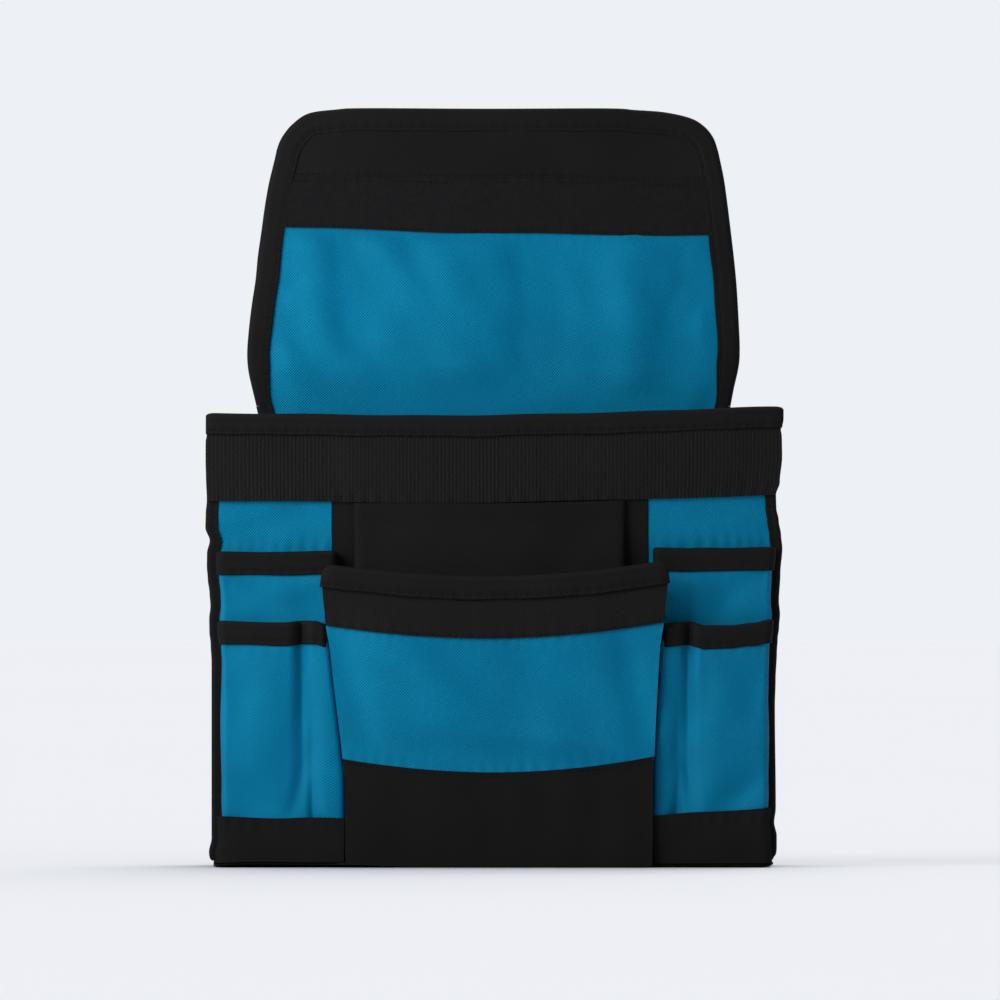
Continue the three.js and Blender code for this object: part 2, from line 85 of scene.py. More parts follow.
def surface(name, points, uv=None, wrap=False, caps=False):
    """A mesh on a grid of points (rows, columns, 3) in metres, with uv in metres. wrap joins the last column
    to the first, and caps close the first and last rows. A row step crossed with a column step points out."""
    rows, columns = points.shape[:2]
    index = np.arange(rows * columns).reshape(rows, columns)
    if wrap:
        index = np.concatenate([index, index[:, :1]], axis=1)
    quads = np.stack([index[:-1, :-1], index[1:, :-1], index[1:, 1:], index[:-1, 1:]], -1).reshape(-1, 4)
    faces = quads.tolist()
    if caps:
        faces += [index[0, :columns].tolist(), index[-1, :columns][::-1].tolist()]
    mesh = bpy.data.meshes.new(name)
    mesh.from_pydata(points.reshape(-1, 3).tolist(), [], faces)
    if uv is not None:
        corner_vertex = np.empty(len(mesh.loops), np.int64)
        mesh.loops.foreach_get("vertex_index", corner_vertex)
        layer = mesh.uv_layers.new(name="cloth")
        layer.data.foreach_set("uv", uv.reshape(-1, 2)[corner_vertex].astype(np.float32).ravel())
    mesh.polygons.foreach_set("use_smooth", np.ones(len(mesh.polygons), bool))
    ends = np.empty(2 * len(mesh.edges), np.int64)
    mesh.edges.foreach_get("vertices", ends)
    row, column = np.divmod(ends.reshape(-1, 2), columns)
    on_border = ((row == 0).all(1) | (row == rows - 1).all(1))
    if not wrap:
        on_border |= (column == 0).all(1) | (column == columns - 1).all(1)
    mesh.attributes.new("sharp_edge", "BOOLEAN", "EDGE").data.foreach_set("value", on_border)
    piece = bpy.data.objects.new(name, mesh)
    bpy.context.scene.collection.objects.link(piece)
    return piece


def node(tree, kind, feeds=None, **settings):
    """A shader node with its settings. feeds gives each input socket a value or another node's output."""
    made = tree.nodes.new("ShaderNode" + kind)
    for setting, value in settings.items():
        setattr(made, setting, value)
    for socket, value in (feeds or {}).items():
        if isinstance(value, bpy.types.NodeSocket):
            tree.links.new(value, made.inputs[socket])
        else:
            made.inputs[socket].default_value = value
    return made


def maths(tree, operation, *values):
    """The output of a Math node."""
    return node(tree, "Math", dict(enumerate(values)), operation=operation).outputs[0]


def new_material(name):
    """An empty material with a Principled shader: the material, its tree and the shader."""
    material = bpy.data.materials.new(name)
    material.use_nodes = True
    return material, material.node_tree, material.node_tree.nodes["Principled BSDF"]


paper, tree, shader = new_material("studio_paper")
tone = node(tree, "TexNoise", {"Vector": node(tree, "TexCoord").outputs["Object"], "Scale": 0.7})
paper_colour = node(tree, "Mix", {"Factor": tone.outputs["Fac"], "A": (0.838, 0.847, 0.875, 1), "B": (0.848, 0.857, 0.885, 1)},
                    data_type="RGBA")
tree.links.new(paper_colour.outputs["Result"], shader.inputs["Base Color"])
shader.inputs["Roughness"].default_value = 1.0
shader.inputs["Specular IOR Level"].default_value = 0.0

# The paper is one flat sheet, finer in the middle so that its mesh holds no long slivers.
paper_lines = np.concatenate([[-14], np.linspace(-3, 3, 7), [14]])
floor_x, floor_y = np.meshgrid(paper_lines, paper_lines, indexing="ij")
studio_floor = surface("studio_floor", np.stack([floor_x, floor_y, np.full_like(floor_x, -0.0004)], -1))
studio_floor.data.materials.append(paper)

LENS, SENSOR = 600, 36
VIEW_WIDTH = 0.55  # metres across the frame at the mouth of the pouch
camera_data = bpy.data.cameras.new("camera")
camera_data.lens = LENS
camera_data.sensor_width = SENSOR
camera = bpy.data.objects.new("camera", camera_data)
bpy.context.scene.collection.objects.link(camera)
mouth = span("mouth_webbing")
camera.location = (0.00275, (BACK_FACE - mouth.front) * MM - VIEW_WIDTH * LENS / SENSOR, 0.2013)
camera.rotation_euler = (math.pi / 2, 0, 0)
bpy.context.scene.camera = camera
bpy.context.scene.view_settings.view_transform = "Standard"


def soft_light(name, towards, strength, spread, glossy=True):
    """A broad far light. towards points from the pouch to the light, and spread is how many degrees it fills."""
    data = bpy.data.lights.new(name, "SUN")
    data.energy, data.angle = strength, math.radians(spread)
    light = bpy.data.objects.new(name, data)
    light.rotation_euler = Vector(towards).to_track_quat("Z", "Y").to_euler()
    light.location = towards
    light.visible_glossy = glossy
    bpy.context.scene.collection.objects.link(light)


soft_light("key_light", (-0.85, -0.5, 0.5), 0.6, 30)
soft_light("fill_light", (0.8, -0.75, 0.3), 0.15, 60)
soft_light("top_light", (0.1, 0.25, 1.0), 1.58, 50)
soft_light("back_light", (0.3, 0.9, 0.35), 0.9, 60, glossy=False)
# A window close to the left lights the pouch alone, so the paper stays even.
window_data = bpy.data.lights.new("window_light", "AREA")
window_data.size, window_data.energy = 0.6, 8.5
window_light = bpy.data.objects.new("window_light", window_data)
window_light.location = (-0.6, -0.55, 0.5)
window_light.rotation_euler = (window_light.location - Vector((0, 0, 0.2))).to_track_quat("Z", "Y").to_euler()
bpy.context.scene.collection.objects.link(window_light)
window_light.light_linking.receiver_collection = bpy.data.collections.new("lit_by_window")
window_light.light_linking.receiver_collection.objects.link(studio_floor)
window_light.light_linking.receiver_collection.collection_objects[0].light_linking.link_state = "EXCLUDE"
world = bpy.data.worlds.new("studio")
world.use_nodes = True
air = world.node_tree.nodes["Background"]
air.inputs["Color"].default_value = (0.847, 0.871, 0.913, 1)
seen = node(world.node_tree, "LightPath").outputs["Is Camera Ray"]
strength = maths(world.node_tree, "MULTIPLY_ADD", seen, 0.62, 0.38)
world.node_tree.links.new(strength, air.inputs["Strength"])
bpy.context.scene.world = world


# ---------------------------------------------------------------------------------------------------------
# Back cloth. The outer back is one layer of closely woven black polyester, stiffened by a board behind it
# and sewn into the seam tape at both sides. It lies almost flat, with faint waves where it is sewn.

def smooth(t):
    """0 below 0, 1 above 1, and an S-curve between."""
    t = np.clip(t, 0, 1)
    return t * t * (3 - 2 * t)


def eased(at, knots):
    """A value that eases from knot to knot along an S-curve. knots are (at, value) pairs in rising order."""
    where, value = np.array(knots, float).T
    i = np.clip(np.searchsorted(where, at) - 1, 0, len(where) - 2)
    return value[i] + (value[i + 1] - value[i]) * smooth((at - where[i]) / (where[i + 1] - where[i]))


LEFT_WAVER = [(0, 0.2), (8, 0.3), (15, 1.7), (112, 1.7), (122, 1.2), (129, 0.5), (136, 0.4), (143, 1.1), (150, 0.6), (158, -0.4),
              (165, -0.9), (172, -0.8), (179, 0.7), (186, -1.7), (194, -1.5), (201, -0.9), (215, -1.4), (222, -1.6), (250, -1.5)]
RIGHT_WAVER = [(0, -2.55), (15, -2.65), (22, -4.05), (30, -3.15), (86, -3.65), (100, -3.25), (115, -2.55), (122, -2.15), (129, -1.35),
               (136, -0.85), (143, -1.45), (158, -0.65), (172, 0.45), (179, -0.25), (187, -1.55), (194, -2.85), (201, -3.05),
               (208, -0.95), (222, 0.35), (236, 0.15), (243, 1.15), (250, 1.15)]


def settled(x, depth, z):
    """The filled pouch isn't quite square: towards the front its right end sits a little higher, its middle
    a little lower, and its sides waver. The shift fades out towards the back, which a board keeps flat."""
    x, depth, z = np.broadcast_arrays(x, depth, z)
    height = z / 250
    front = smooth(depth / 40)
    lift = 3.4 * smooth((x + 20) / 178) * 0.5 * (smooth(height * 12) + height)
    sag = 1.3 * (1 - (x / 157) ** 2) * np.clip(height, 0, 1)
    waver = np.where(x < 0, eased(z, LEFT_WAVER), eased(z, RIGHT_WAVER)) * np.minimum(np.abs(x / 157), 1) ** 5
    return place(x + front * waver, depth, z + front * (lift - sag))


def waves(a, b, length, seed):
    """Irregular soft waves, about -1 to 1: the mean of sines of nearly one length in seeded directions."""
    random = np.random.default_rng(seed)
    angle = random.uniform(0, 2 * math.pi, 7)
    number = 2 * math.pi / (length * random.uniform(0.75, 1.5, 7))
    phase = random.uniform(0, 2 * math.pi, 7)
    along = a[..., None] * np.cos(angle) + b[..., None] * np.sin(angle)
    return np.sin(along * number + phase).sum(-1) / 3.2


def folds(a, b, creases):
    """Height of soft folds. Each crease is (a0, b0, a1, b1, width, height): a ridge, or a hollow if its height
    is negative, between two points, with a bell-shaped section that fades past both ends."""
    start = np.array([c[0:2] for c in creases], float)
    along = np.array([c[2:4] for c in creases], float) - start
    width, height = (np.array([c[i] for c in creases], float) for i in (4, 5))
    length = np.linalg.norm(along, axis=-1)
    offset = np.stack([a, b], -1)[..., None, :] - start
    share = (offset * along).sum(-1) / length**2
    aside = (offset[..., 0] * along[:, 1] - offset[..., 1] * along[:, 0]) / length
    past = np.maximum(np.abs(share - 0.5) - 0.25, 0) * length
    return (height * np.exp(-((aside / width) ** 2) - (past / (0.3 * length + width)) ** 2)).sum(-1)


def puckers(along, from_seam, size=0.35, pitch=7, reach=6):
    """Small ripples that a seam gathers into the cloth beside it, fading with the distance from the seam."""
    uneven = np.sin(2 * math.pi * along / pitch + 1.7 * np.sin(along / 11.3)) * (0.7 + 0.3 * np.sin(along / 17.1))
    return size * uneven * np.exp(-((from_seam / reach) ** 2))


def flat_grid(left, right, low, high, step):
    """x and z arrays of an even grid about step apart, rows along x and columns along z."""
    x = np.linspace(left, right, max(2, round((right - left) / step) + 1))
    z = np.linspace(low, high, max(2, round((high - low) / step) + 1))
    return np.meshgrid(x, z, indexing="ij")


def cloth(name, points, along, up, thick, material, body="pouch"):
    """A layer of cloth on a grid of points, with its uv from lengths in millimetres, given its thickness."""
    piece = surface(name, points, np.stack(np.broadcast_arrays(along, up), -1) * MM)
    thicken = piece.modifiers.new("thickness", "SOLIDIFY")
    thicken.thickness = thick * MM
    thicken.offset = 0
    piece.data.materials.append(material)
    if body:
        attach(piece, body)
    return piece


def shader_group(name, inputs, outputs):
    """An empty node group with named sockets: the group, its input node and its output node."""
    group = bpy.data.node_groups.new(name, "ShaderNodeTree")
    for label, kind in inputs.items():
        group.interface.new_socket(label, in_out="INPUT", socket_type="NodeSocket" + kind)
    for label, kind in outputs.items():
        group.interface.new_socket(label, in_out="OUTPUT", socket_type="NodeSocket" + kind)
    return group, group.nodes.new("NodeGroupInput"), group.nodes.new("NodeGroupOutput")


# Weave: threads from the cloth's own uv. Twill 0 is plain weave, over and under like a chessboard of bumps.
# Twill 1 is diagonal ribs that rise to the right, crossed by the breaks between threads.
weave_group, given, result = shader_group(
    "weave", {"Vector": "Vector", "Pitch": "Float", "Twill": "Float"}, {"Height": "Float"})
per_pitch = maths(weave_group, "DIVIDE", 1000.0, given.outputs["Pitch"])
scaled = node(weave_group, "VectorMath", {0: given.outputs["Vector"], "Scale": per_pitch}, operation="SCALE")
wander = node(weave_group, "TexNoise", {"Vector": scaled.outputs[0], "Scale": 0.12, "Detail": 2.0})
axes = node(weave_group, "SeparateXYZ", {0: scaled.outputs[0]})
shifted = maths(weave_group, "ADD", axes.outputs["X"], maths(weave_group, "MULTIPLY", wander.outputs["Fac"], 1.6))


def thread_wave(tree, phase, count):
    """A sine of a phase counted in threads."""
    return maths(tree, "SINE", maths(tree, "MULTIPLY", phase, 2 * math.pi * count))


rise = maths(weave_group, "SUBTRACT", shifted, axes.outputs["Y"])
fall = maths(weave_group, "ADD", shifted, axes.outputs["Y"])
ribs = thread_wave(weave_group, rise, 1)
breaks = thread_wave(weave_group, fall, 1.5)
twill = maths(weave_group, "ADD", maths(weave_group, "MULTIPLY", ribs, 0.75), maths(weave_group, "MULTIPLY", breaks, 0.25))
plain = maths(weave_group, "MULTIPLY", thread_wave(weave_group, shifted, 1), thread_wave(weave_group, axes.outputs["Y"], 1))
either = node(weave_group, "Mix", {"Factor": given.outputs["Twill"], "A": plain, "B": twill}, data_type="FLOAT")
centred = maths(weave_group, "MULTIPLY_ADD", either.outputs[0], 0.5, 0.5)
weave_group.links.new(centred, result.inputs["Height"])

# Mottle: slow changes of tone from handling and dye, and a fine lint that sits on the nap.
mottle_group, given, result = shader_group("mottle", {"Vector": "Vector"}, {"Tone": "Float", "Lint": "Float"})
broad = node(mottle_group, "TexNoise", {"Vector": given.outputs["Vector"], "Scale": 22.0, "Detail": 3.0})
fine = node(mottle_group, "TexNoise", {"Vector": given.outputs["Vector"], "Scale": 900.0, "Detail": 2.0})
lint = node(mottle_group, "MapRange", {"Value": fine.outputs["Fac"], "From Min": 0.52, "From Max": 0.75})
mottle_group.links.new(broad.outputs["Fac"], result.inputs["Tone"])
mottle_group.links.new(lint.outputs["Result"], result.inputs["Lint"])


def grouped(tree, group, feeds):
    """A node that stands for a group, fed like any other."""
    made = tree.nodes.new("ShaderNodeGroup")
    made.node_tree = group
    for socket, value in feeds.items():
        if isinstance(value, bpy.types.NodeSocket):
            tree.links.new(value, made.inputs[socket])
        else:
            made.inputs[socket].default_value = value
    return made


def woven_cloth(name, deep, light, pitch, twill, relief, rough, painted_weave_shade_share=0.3, specular=0.3, tint=(1, 1, 1, 1)):
    """A woven cloth. Its colour goes from deep in the weave's hollows, as painted shade, to light on the threads, as
    painted highlight, and lighter at random where it is worn; its relief, in millimetres, comes from the weave and the
    lint."""
    material, tree, shader = new_material(name)
    lengths = node(tree, "UVMap", uv_map="cloth").outputs["UV"]
    weave = grouped(tree, weave_group, {"Vector": lengths, "Pitch": pitch, "Twill": twill})
    mottle = grouped(tree, mottle_group, {"Vector": node(tree, "TexCoord").outputs["Object"]})
    # The weave's height lightens the threads and darkens the hollows: painted highlight and painted shade, in the share
    # given by the argument. The mottle's tone is wear and dye that differs at random.
    tone = maths(tree, "MULTIPLY_ADD", weave.outputs["Height"], painted_weave_shade_share, maths(tree, "MULTIPLY", mottle.outputs["Tone"], 1 - painted_weave_shade_share))
    fuzzy = maths(tree, "MULTIPLY_ADD", mottle.outputs["Lint"], 0.12, tone)
    colour = node(tree, "Mix", {"Factor": fuzzy, "A": (*deep, 1), "B": (*light, 1)}, data_type="RGBA")
    tree.links.new(colour.outputs["Result"], shader.inputs["Base Color"])
    facing = node(tree, "LayerWeight", {"Blend": 0.5}).outputs["Facing"]
    broken_up = maths(tree, "POWER", facing, 2.0)  # loose fibres break up the gloss at a slant
    even = maths(tree, "MULTIPLY_ADD", tone, -0.16, rough + 0.08)
    tree.links.new(maths(tree, "MULTIPLY_ADD", broken_up, 0.4, even), shader.inputs["Roughness"])
    height = maths(tree, "MULTIPLY_ADD", mottle.outputs["Lint"], 0.25, weave.outputs["Height"])
    bump = node(tree, "Bump", {"Height": height, "Distance": relief * MM, "Strength": 1.0})
    tree.links.new(bump.outputs["Normal"], shader.inputs["Normal"])
    gloss = maths(tree, "MULTIPLY_ADD", broken_up, -specular, specular)
    tree.links.new(gloss, shader.inputs["Specular IOR Level"])
    shader.inputs["Specular Tint"].default_value = tint
    return material


black_cloth = woven_cloth("black_cloth", (0.0027, 0.0027, 0.0028), (0.0068, 0.0068, 0.007), 0.7, 0.0, 0.05, 0.8,
                          specular=0.08)

FOLD = frame["joints"][0]["pos_m"][2] / MM
SECOND_FOLD = frame["joints"][1]["pos_m"][2] / MM
HINGE_LOW = FOLD - 17  # the cloth between here and the flap is its hinge at the mouth
HINGE_HIGH = FOLD - 3
back = span("back_panel")
x, z = flat_grid(back.left, back.right, back.low, HINGE_LOW, 3.2)
from_side = back.right - np.abs(x)
bulge = 0.3 * waves(x, z, 90, 3) + puckers(z, from_side, 0.25)
back_cloth = cloth("back_cloth", place(x, 0.6 - 0.25 + 0.4 * bulge, z)[::-1], -x[::-1], z[::-1], 0.9, black_cloth)
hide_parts("back_panel")

# The three stiffening boards stay as they are, sealed inside, in grey fibreboard.
fibreboard, tree, shader = new_material("fibreboard")
speck = node(tree, "TexNoise", {"Vector": node(tree, "TexCoord").outputs["Object"], "Scale": 450.0, "Detail": 4.0})
shade = node(tree, "Mix", {"Factor": speck.outputs["Fac"], "A": (0.03, 0.031, 0.033, 1), "B": (0.09, 0.092, 0.096, 1)},
             data_type="RGBA")
tree.links.new(shade.outputs["Result"], shader.inputs["Base Color"])
bump = node(tree, "Bump", {"Height": speck.outputs["Fac"], "Distance": 0.0002})
tree.links.new(bump.outputs["Normal"], shader.inputs["Normal"])
shader.inputs["Roughness"].default_value = 0.7
for board in ("back_board", "base_board", "flap_board"):
    frame["nodes"][board].data.materials.clear()
    frame["nodes"][board].data.materials.append(fibreboard)


# ---------------------------------------------------------------------------------------------------------
# Base. One piece of the same black cloth runs under the compartment and every pocket, with its front edges
# turned up behind the foot bands.
SOLE = [(-157, 0.5), (-137, 1.2), (-80, 1.0), (-42, 0.1), (30, 0.1), (85, 0.3), (157, 0.4)]  # the front's foot


def tread(x, depth):
    """How high the base is: on the ground at the back, and curling up to the wavy front edge."""
    return eased(x, SOLE) * smooth((depth - 40) / 30)


base = span("base_panel")
x, share = np.meshgrid(np.linspace(base.left, base.right, 106), np.linspace(0, 1, 25), indexing="ij")
front_edge = np.where(np.abs(x) < 87, base.front - 1.5, span("foot_band_left").front - 1.5)
depth = base.back + (front_edge - base.back) * share
x = x * np.where(x < 0, 0.988, 0.979) * (1 - 0.008 * smooth((depth - 40) / 28))
near_corner = np.clip(np.maximum((depth - front_edge + 6) / 6, (base.back + 3 - depth) / 6), 0, 1)
x = x - np.sign(x) * 6 * (1 - np.sqrt(1 - near_corner**2)) * np.abs(x / 157) ** 12
base_cloth = cloth("base_cloth", settled(x, depth, 0.65 + tread(x, depth)), x, depth, 1.1, black_cloth)
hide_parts("base_panel")


# ---------------------------------------------------------------------------------------------------------
# Lining. A thin black nylon covers the board at the back and the board on the floor of the compartment.
lining_cloth = woven_cloth("lining_cloth", (0.008, 0.0085, 0.0095), (0.02, 0.021, 0.023), 0.5, 0.0, 0.03, 0.55, specular=0.3)
lining = span("back_lining")
x, z = flat_grid(lining.left, lining.right, lining.low, HINGE_LOW, 3.2)
loose = 0.5 * waves(x, z, 60, 8)
back_lining = cloth("back_lining_cloth", place(x, 3.8 + 0.35 * loose, z), x, z, 0.6, lining_cloth)
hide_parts("back_lining")
floor = span("base_lining")
x, depth = flat_grid(floor.left, floor.right, floor.back, floor.front, 3)
floor_cloth = cloth("base_lining_cloth", place(x, depth, floor.low + 0.4 + 0.25 * waves(x, depth, 40, 5))[::-1],
                    x[::-1], depth[::-1], 0.6, lining_cloth)
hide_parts("base_lining")


# ---------------------------------------------------------------------------------------------------------
# Side gussets. Each is a strip of black cloth folded inwards down its middle, so the pouch can close flat.

def rounded_path(corners, radius, count):
    """Points (count, 2) evenly along a path whose inner corners are rounded: each is a quadratic curve that
    starts and ends a radius from the corner, with the corner itself as its control point."""
    corners = np.array(corners, float)
    before, here, after = corners[:-2], corners[1:-1], corners[2:]

    def towards(other):
        step = other - here
        return here + step * (radius / np.linalg.norm(step, axis=-1, keepdims=True))

    t = np.linspace(0, 1, 9)[:, None, None]
    curves = (1 - t) ** 2 * towards(before) + 2 * t * (1 - t) * here + t**2 * towards(after)
    dense = np.concatenate([corners[:1], curves.transpose(1, 0, 2).reshape(-1, 2), corners[-1:]])
    return evenly(dense, count)


def evenly(line, count):
    """The same line with count points evenly along its length."""
    length = np.concatenate([[0], np.cumsum(np.linalg.norm(np.diff(line, axis=0), axis=-1))])
    wanted = np.linspace(0, length[-1], count)
    return np.stack([np.interp(wanted, length, line[:, i]) for i in range(line.shape[1])], -1)


def lengths(line):
    """How far along a line of points each point is."""
    return np.concatenate([[0], np.cumsum(np.linalg.norm(np.diff(line, axis=0), axis=-1))])


def standing(foot, top, low, high, rows):
    """A wall that stands on a path of (x, depth) points and leans to another: x, depth, z and the length
    along it, rows along the path and columns up it."""
    share = np.linspace(0, 1, rows)
    plan = foot[:, None, :] * (1 - share[:, None]) + top[:, None, :] * share[:, None]
    z = low + (high - low) * share
    along = np.broadcast_to(lengths(foot)[:, None], plan.shape[:2])
    return plan[..., 0], plan[..., 1], np.broadcast_to(z, plan.shape[:2]), along


def pushed(x, depth, z, height):
    """A wall moved outwards along its own plan normal, which is on the right of its path."""
    dx, dd = np.gradient(x, axis=0), np.gradient(depth, axis=0)
    size = np.hypot(dx, dd) + 1e-9
    return x - height * dd / size, depth + height * dx / size


HALF_BACK = {"left": 155.3, "right": 153.9}  # the outer edges of the seams at the back
for name, side in (("left", -1), ("right", 1)):
    gusset = span(f"side_gusset_{name}")
    edge = HALF_BACK[name] - 2.3
    fold = edge - 9.2
    middle = (gusset.front + gusset.back) / 2
    path = rounded_path([(edge + 1.4, gusset.front + 2.2), (fold, middle), (edge, gusset.back - 3.1)], 4, 30)
    path[:, 0] *= side
    x, depth, z, along = standing(path, path, gusset.low - 0.6, gusset.high, 90)
    slack = np.sin(math.pi * along / along.max())
    x = x + slack * smooth(z / 30) * (1.1 * waves(along, z, 34, 21 + side) + 0.5 * waves(along, z, 13, 31 + side))
    x = x + side * 8 * slack * smooth((18 - z) / 18)  # the fold opens out where the base is sewn on
    if side > 0:
        x, depth, z, along = (a[::-1] for a in (x, depth, z, along))
    piece = cloth(f"side_gusset_cloth_{name}", settled(x, depth, z), along, z, 0.8, black_cloth)
    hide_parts(f"side_gusset_{name}")


# ---------------------------------------------------------------------------------------------------------
# Binding tape. A 25 mm herringbone tape is folded over every raw edge and caught by one row of stitches.
# The seams at the sides, the gussets' mouths and the shoulders beside the flap are bound first.

herringbone_group, given, result = shader_group(
    "herringbone", {"Vector": "Vector", "Pitch": "Float", "Stripe": "Float"}, {"Height": "Float"})
scaled = node(herringbone_group, "VectorMath",
              {0: given.outputs["Vector"], "Scale": maths(herringbone_group, "DIVIDE", 1000.0, given.outputs["Pitch"])},
              operation="SCALE")
axes = node(herringbone_group, "SeparateXYZ", {0: scaled.outputs[0]})
zigzag = maths(herringbone_group, "PINGPONG", axes.outputs["Y"], given.outputs["Stripe"])
diagonal = thread_wave(herringbone_group, maths(herringbone_group, "ADD", axes.outputs["X"], zigzag), 1)
centred = maths(herringbone_group, "MULTIPLY_ADD", diagonal, 0.5, 0.5)
herringbone_group.links.new(centred, result.inputs["Height"])

binding_tape, tree, shader = new_material("binding_tape")
cloth_uv = node(tree, "UVMap", uv_map="cloth").outputs["UV"]
chevrons = grouped(tree, herringbone_group, {"Vector": cloth_uv, "Pitch": 1.1, "Stripe": 2.6})
mottle = grouped(tree, mottle_group, {"Vector": node(tree, "TexCoord").outputs["Object"]})
# The herringbone's threads are lighter on their crests and darker between them, painted highlight and painted shade;
# the mottle adds tone that differs at random.
tone = maths(tree, "MULTIPLY_ADD", chevrons.outputs["Height"], 0.4, maths(tree, "MULTIPLY", mottle.outputs["Tone"], 0.5))
colour = node(tree, "Mix", {"Factor": tone, "A": (0.0023, 0.0023, 0.0024, 1), "B": (0.007, 0.007, 0.0072, 1)}, data_type="RGBA")
tree.links.new(colour.outputs["Result"], shader.inputs["Base Color"])
tree.links.new(maths(tree, "MULTIPLY_ADD", tone, -0.2, 0.8), shader.inputs["Roughness"])
height = maths(tree, "MULTIPLY_ADD", mottle.outputs["Lint"], 0.2, chevrons.outputs["Height"])
bump = node(tree, "Bump", {"Height": height, "Distance": 0.09 * MM})
tree.links.new(bump.outputs["Normal"], shader.inputs["Normal"])
shader.inputs["Specular IOR Level"].default_value = 0.08

# Thread: bonded black polyester, a little glossier than the tape, with its plies showing as a slant, in relief and in
# painted shade between them.
thread, tree, shader = new_material("black_thread")
cloth_uv = node(tree, "UVMap", uv_map="cloth").outputs["UV"]
plies = grouped(tree, weave_group, {"Vector": cloth_uv, "Pitch": 0.35, "Twill": 1.0})
# The colour follows the plies' height, darker between them and lighter on them: painted shade and painted highlight.
colour = node(tree, "Mix", {"Factor": plies.outputs["Height"], "A": (0.002, 0.002, 0.0021, 1), "B": (0.008, 0.008, 0.0082, 1)},
              data_type="RGBA")
tree.links.new(colour.outputs["Result"], shader.inputs["Base Color"])
bump = node(tree, "Bump", {"Height": plies.outputs["Height"], "Distance": 0.03 * MM})
tree.links.new(bump.outputs["Normal"], shader.inputs["Normal"])
shader.inputs["Roughness"].default_value = 0.7
shader.inputs["Specular IOR Level"].default_value = 0.1

LEAF = 0.95  # thickness of one side of the folded tape
TAPE_WIDTH = 12.5
STITCH_IN = 2.2  # from the tape's edge to its stitches


def outwards(points):
    """The grid of a closed tube, turned round if its faces would point inwards."""
    centre = points.mean((0, 1))
    a = points - centre
    b, c = np.roll(a, -1, axis=1), np.roll(a, -1, axis=0)
    volume = (a[:-1] * np.cross(c[:-1], b[:-1])).sum()
    return volume > 0


def folded_tape(name, crest, across, out, gap, width=TAPE_WIDTH, leaf=LEAF, body="pouch", put=settled, steps=16,
                tuck=5.0, sink=1.6, narrow=0.0):
    """A tape folded over an edge. Its section is a U: two flat leaves a gap apart, joined by a half circle
    over the crest. Each leaf dips at its stitches, and over the length of the tuck both ends are pinched
    like a quarter circle and the crest sinks. crest is a line of places, across points from the back leaf to the front one, and
    out points over the crest. Returns the piece and the line of its stitches."""
    half = (gap + leaf) / 2
    arc = half * math.pi / 2
    reach = arc + width - half
    t = np.linspace(-1, 1, 2 * steps + 1)
    t = np.sign(t) * np.abs(t) ** 0.9
    run = np.abs(t) * reach
    angle = np.minimum(run, arc) / half
    dip = 0.28 * np.exp(-(((reach - run - STITCH_IN) / 1.2) ** 2))
    sideways = np.sign(t) * (np.where(run < arc, half * np.sin(angle), half) - dip)
    down = np.where(run < arc, half * (1 - np.cos(angle)), half + run - arc)
    turn_a, turn_b = np.gradient(sideways), np.gradient(-down)
    size = np.hypot(turn_a, turn_b)
    normal_a, normal_b = -turn_b / size, turn_a / size
    body_thick = leaf * (1 - 0.55 * np.abs(t) ** 24)
    section_a = np.concatenate([sideways + normal_a * body_thick / 2, (sideways - normal_a * body_thick / 2)[::-1]])
    section_b = np.concatenate([-down + normal_b * body_thick / 2, (-down - normal_b * body_thick / 2)[::-1]])
    track = np.concatenate([t * reach, (t * reach)[::-1]])
    along = lengths(crest)[:, None]
    from_end = np.minimum(along, along[-1] - along)
    free = smooth(from_end / 10)
    taper = 1 - narrow * (1 - smooth(from_end / 26))
    at_stitch = np.exp(-(((reach - np.abs(track) - STITCH_IN) / 3) ** 2))
    ripple = 0.13 * free * np.sin(2 * math.pi * along / 6.4 + np.sin(along / 9)) * at_stitch
    uneven = 1 + 0.03 * free * np.sin(along / 19) * np.sin(along / 7.7 + 1) * (np.abs(track) / reach)
    full = np.sqrt(1 - (1 - np.minimum(from_end / tuck, 1)) ** 2) if tuck else 1
    a = (section_a + np.sign(section_a) * ripple) * (0.45 + 0.55 * full)
    b = section_b * uneven * taper - sink * (1 - full) * smooth(1 - np.abs(track) / reach)
    places = crest[:, None, :] + across[:, None, :] * a[..., None] + out[:, None, :] * b[..., None]
    points = put(places[..., 0], places[..., 1], places[..., 2])
    uv = np.stack(np.broadcast_arrays(along, track), -1) * MM
    if not outwards(points):
        points, uv = points[:, ::-1], uv[:, ::-1]
    piece = surface(name, points, uv, wrap=True, caps=True)
    piece.data.materials.append(binding_tape)
    if body:
        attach(piece, body)
    front = half + leaf / 2 - 0.2
    stitch_line = crest + across * front - out * (width * taper - STITCH_IN)
    return piece, stitch_line


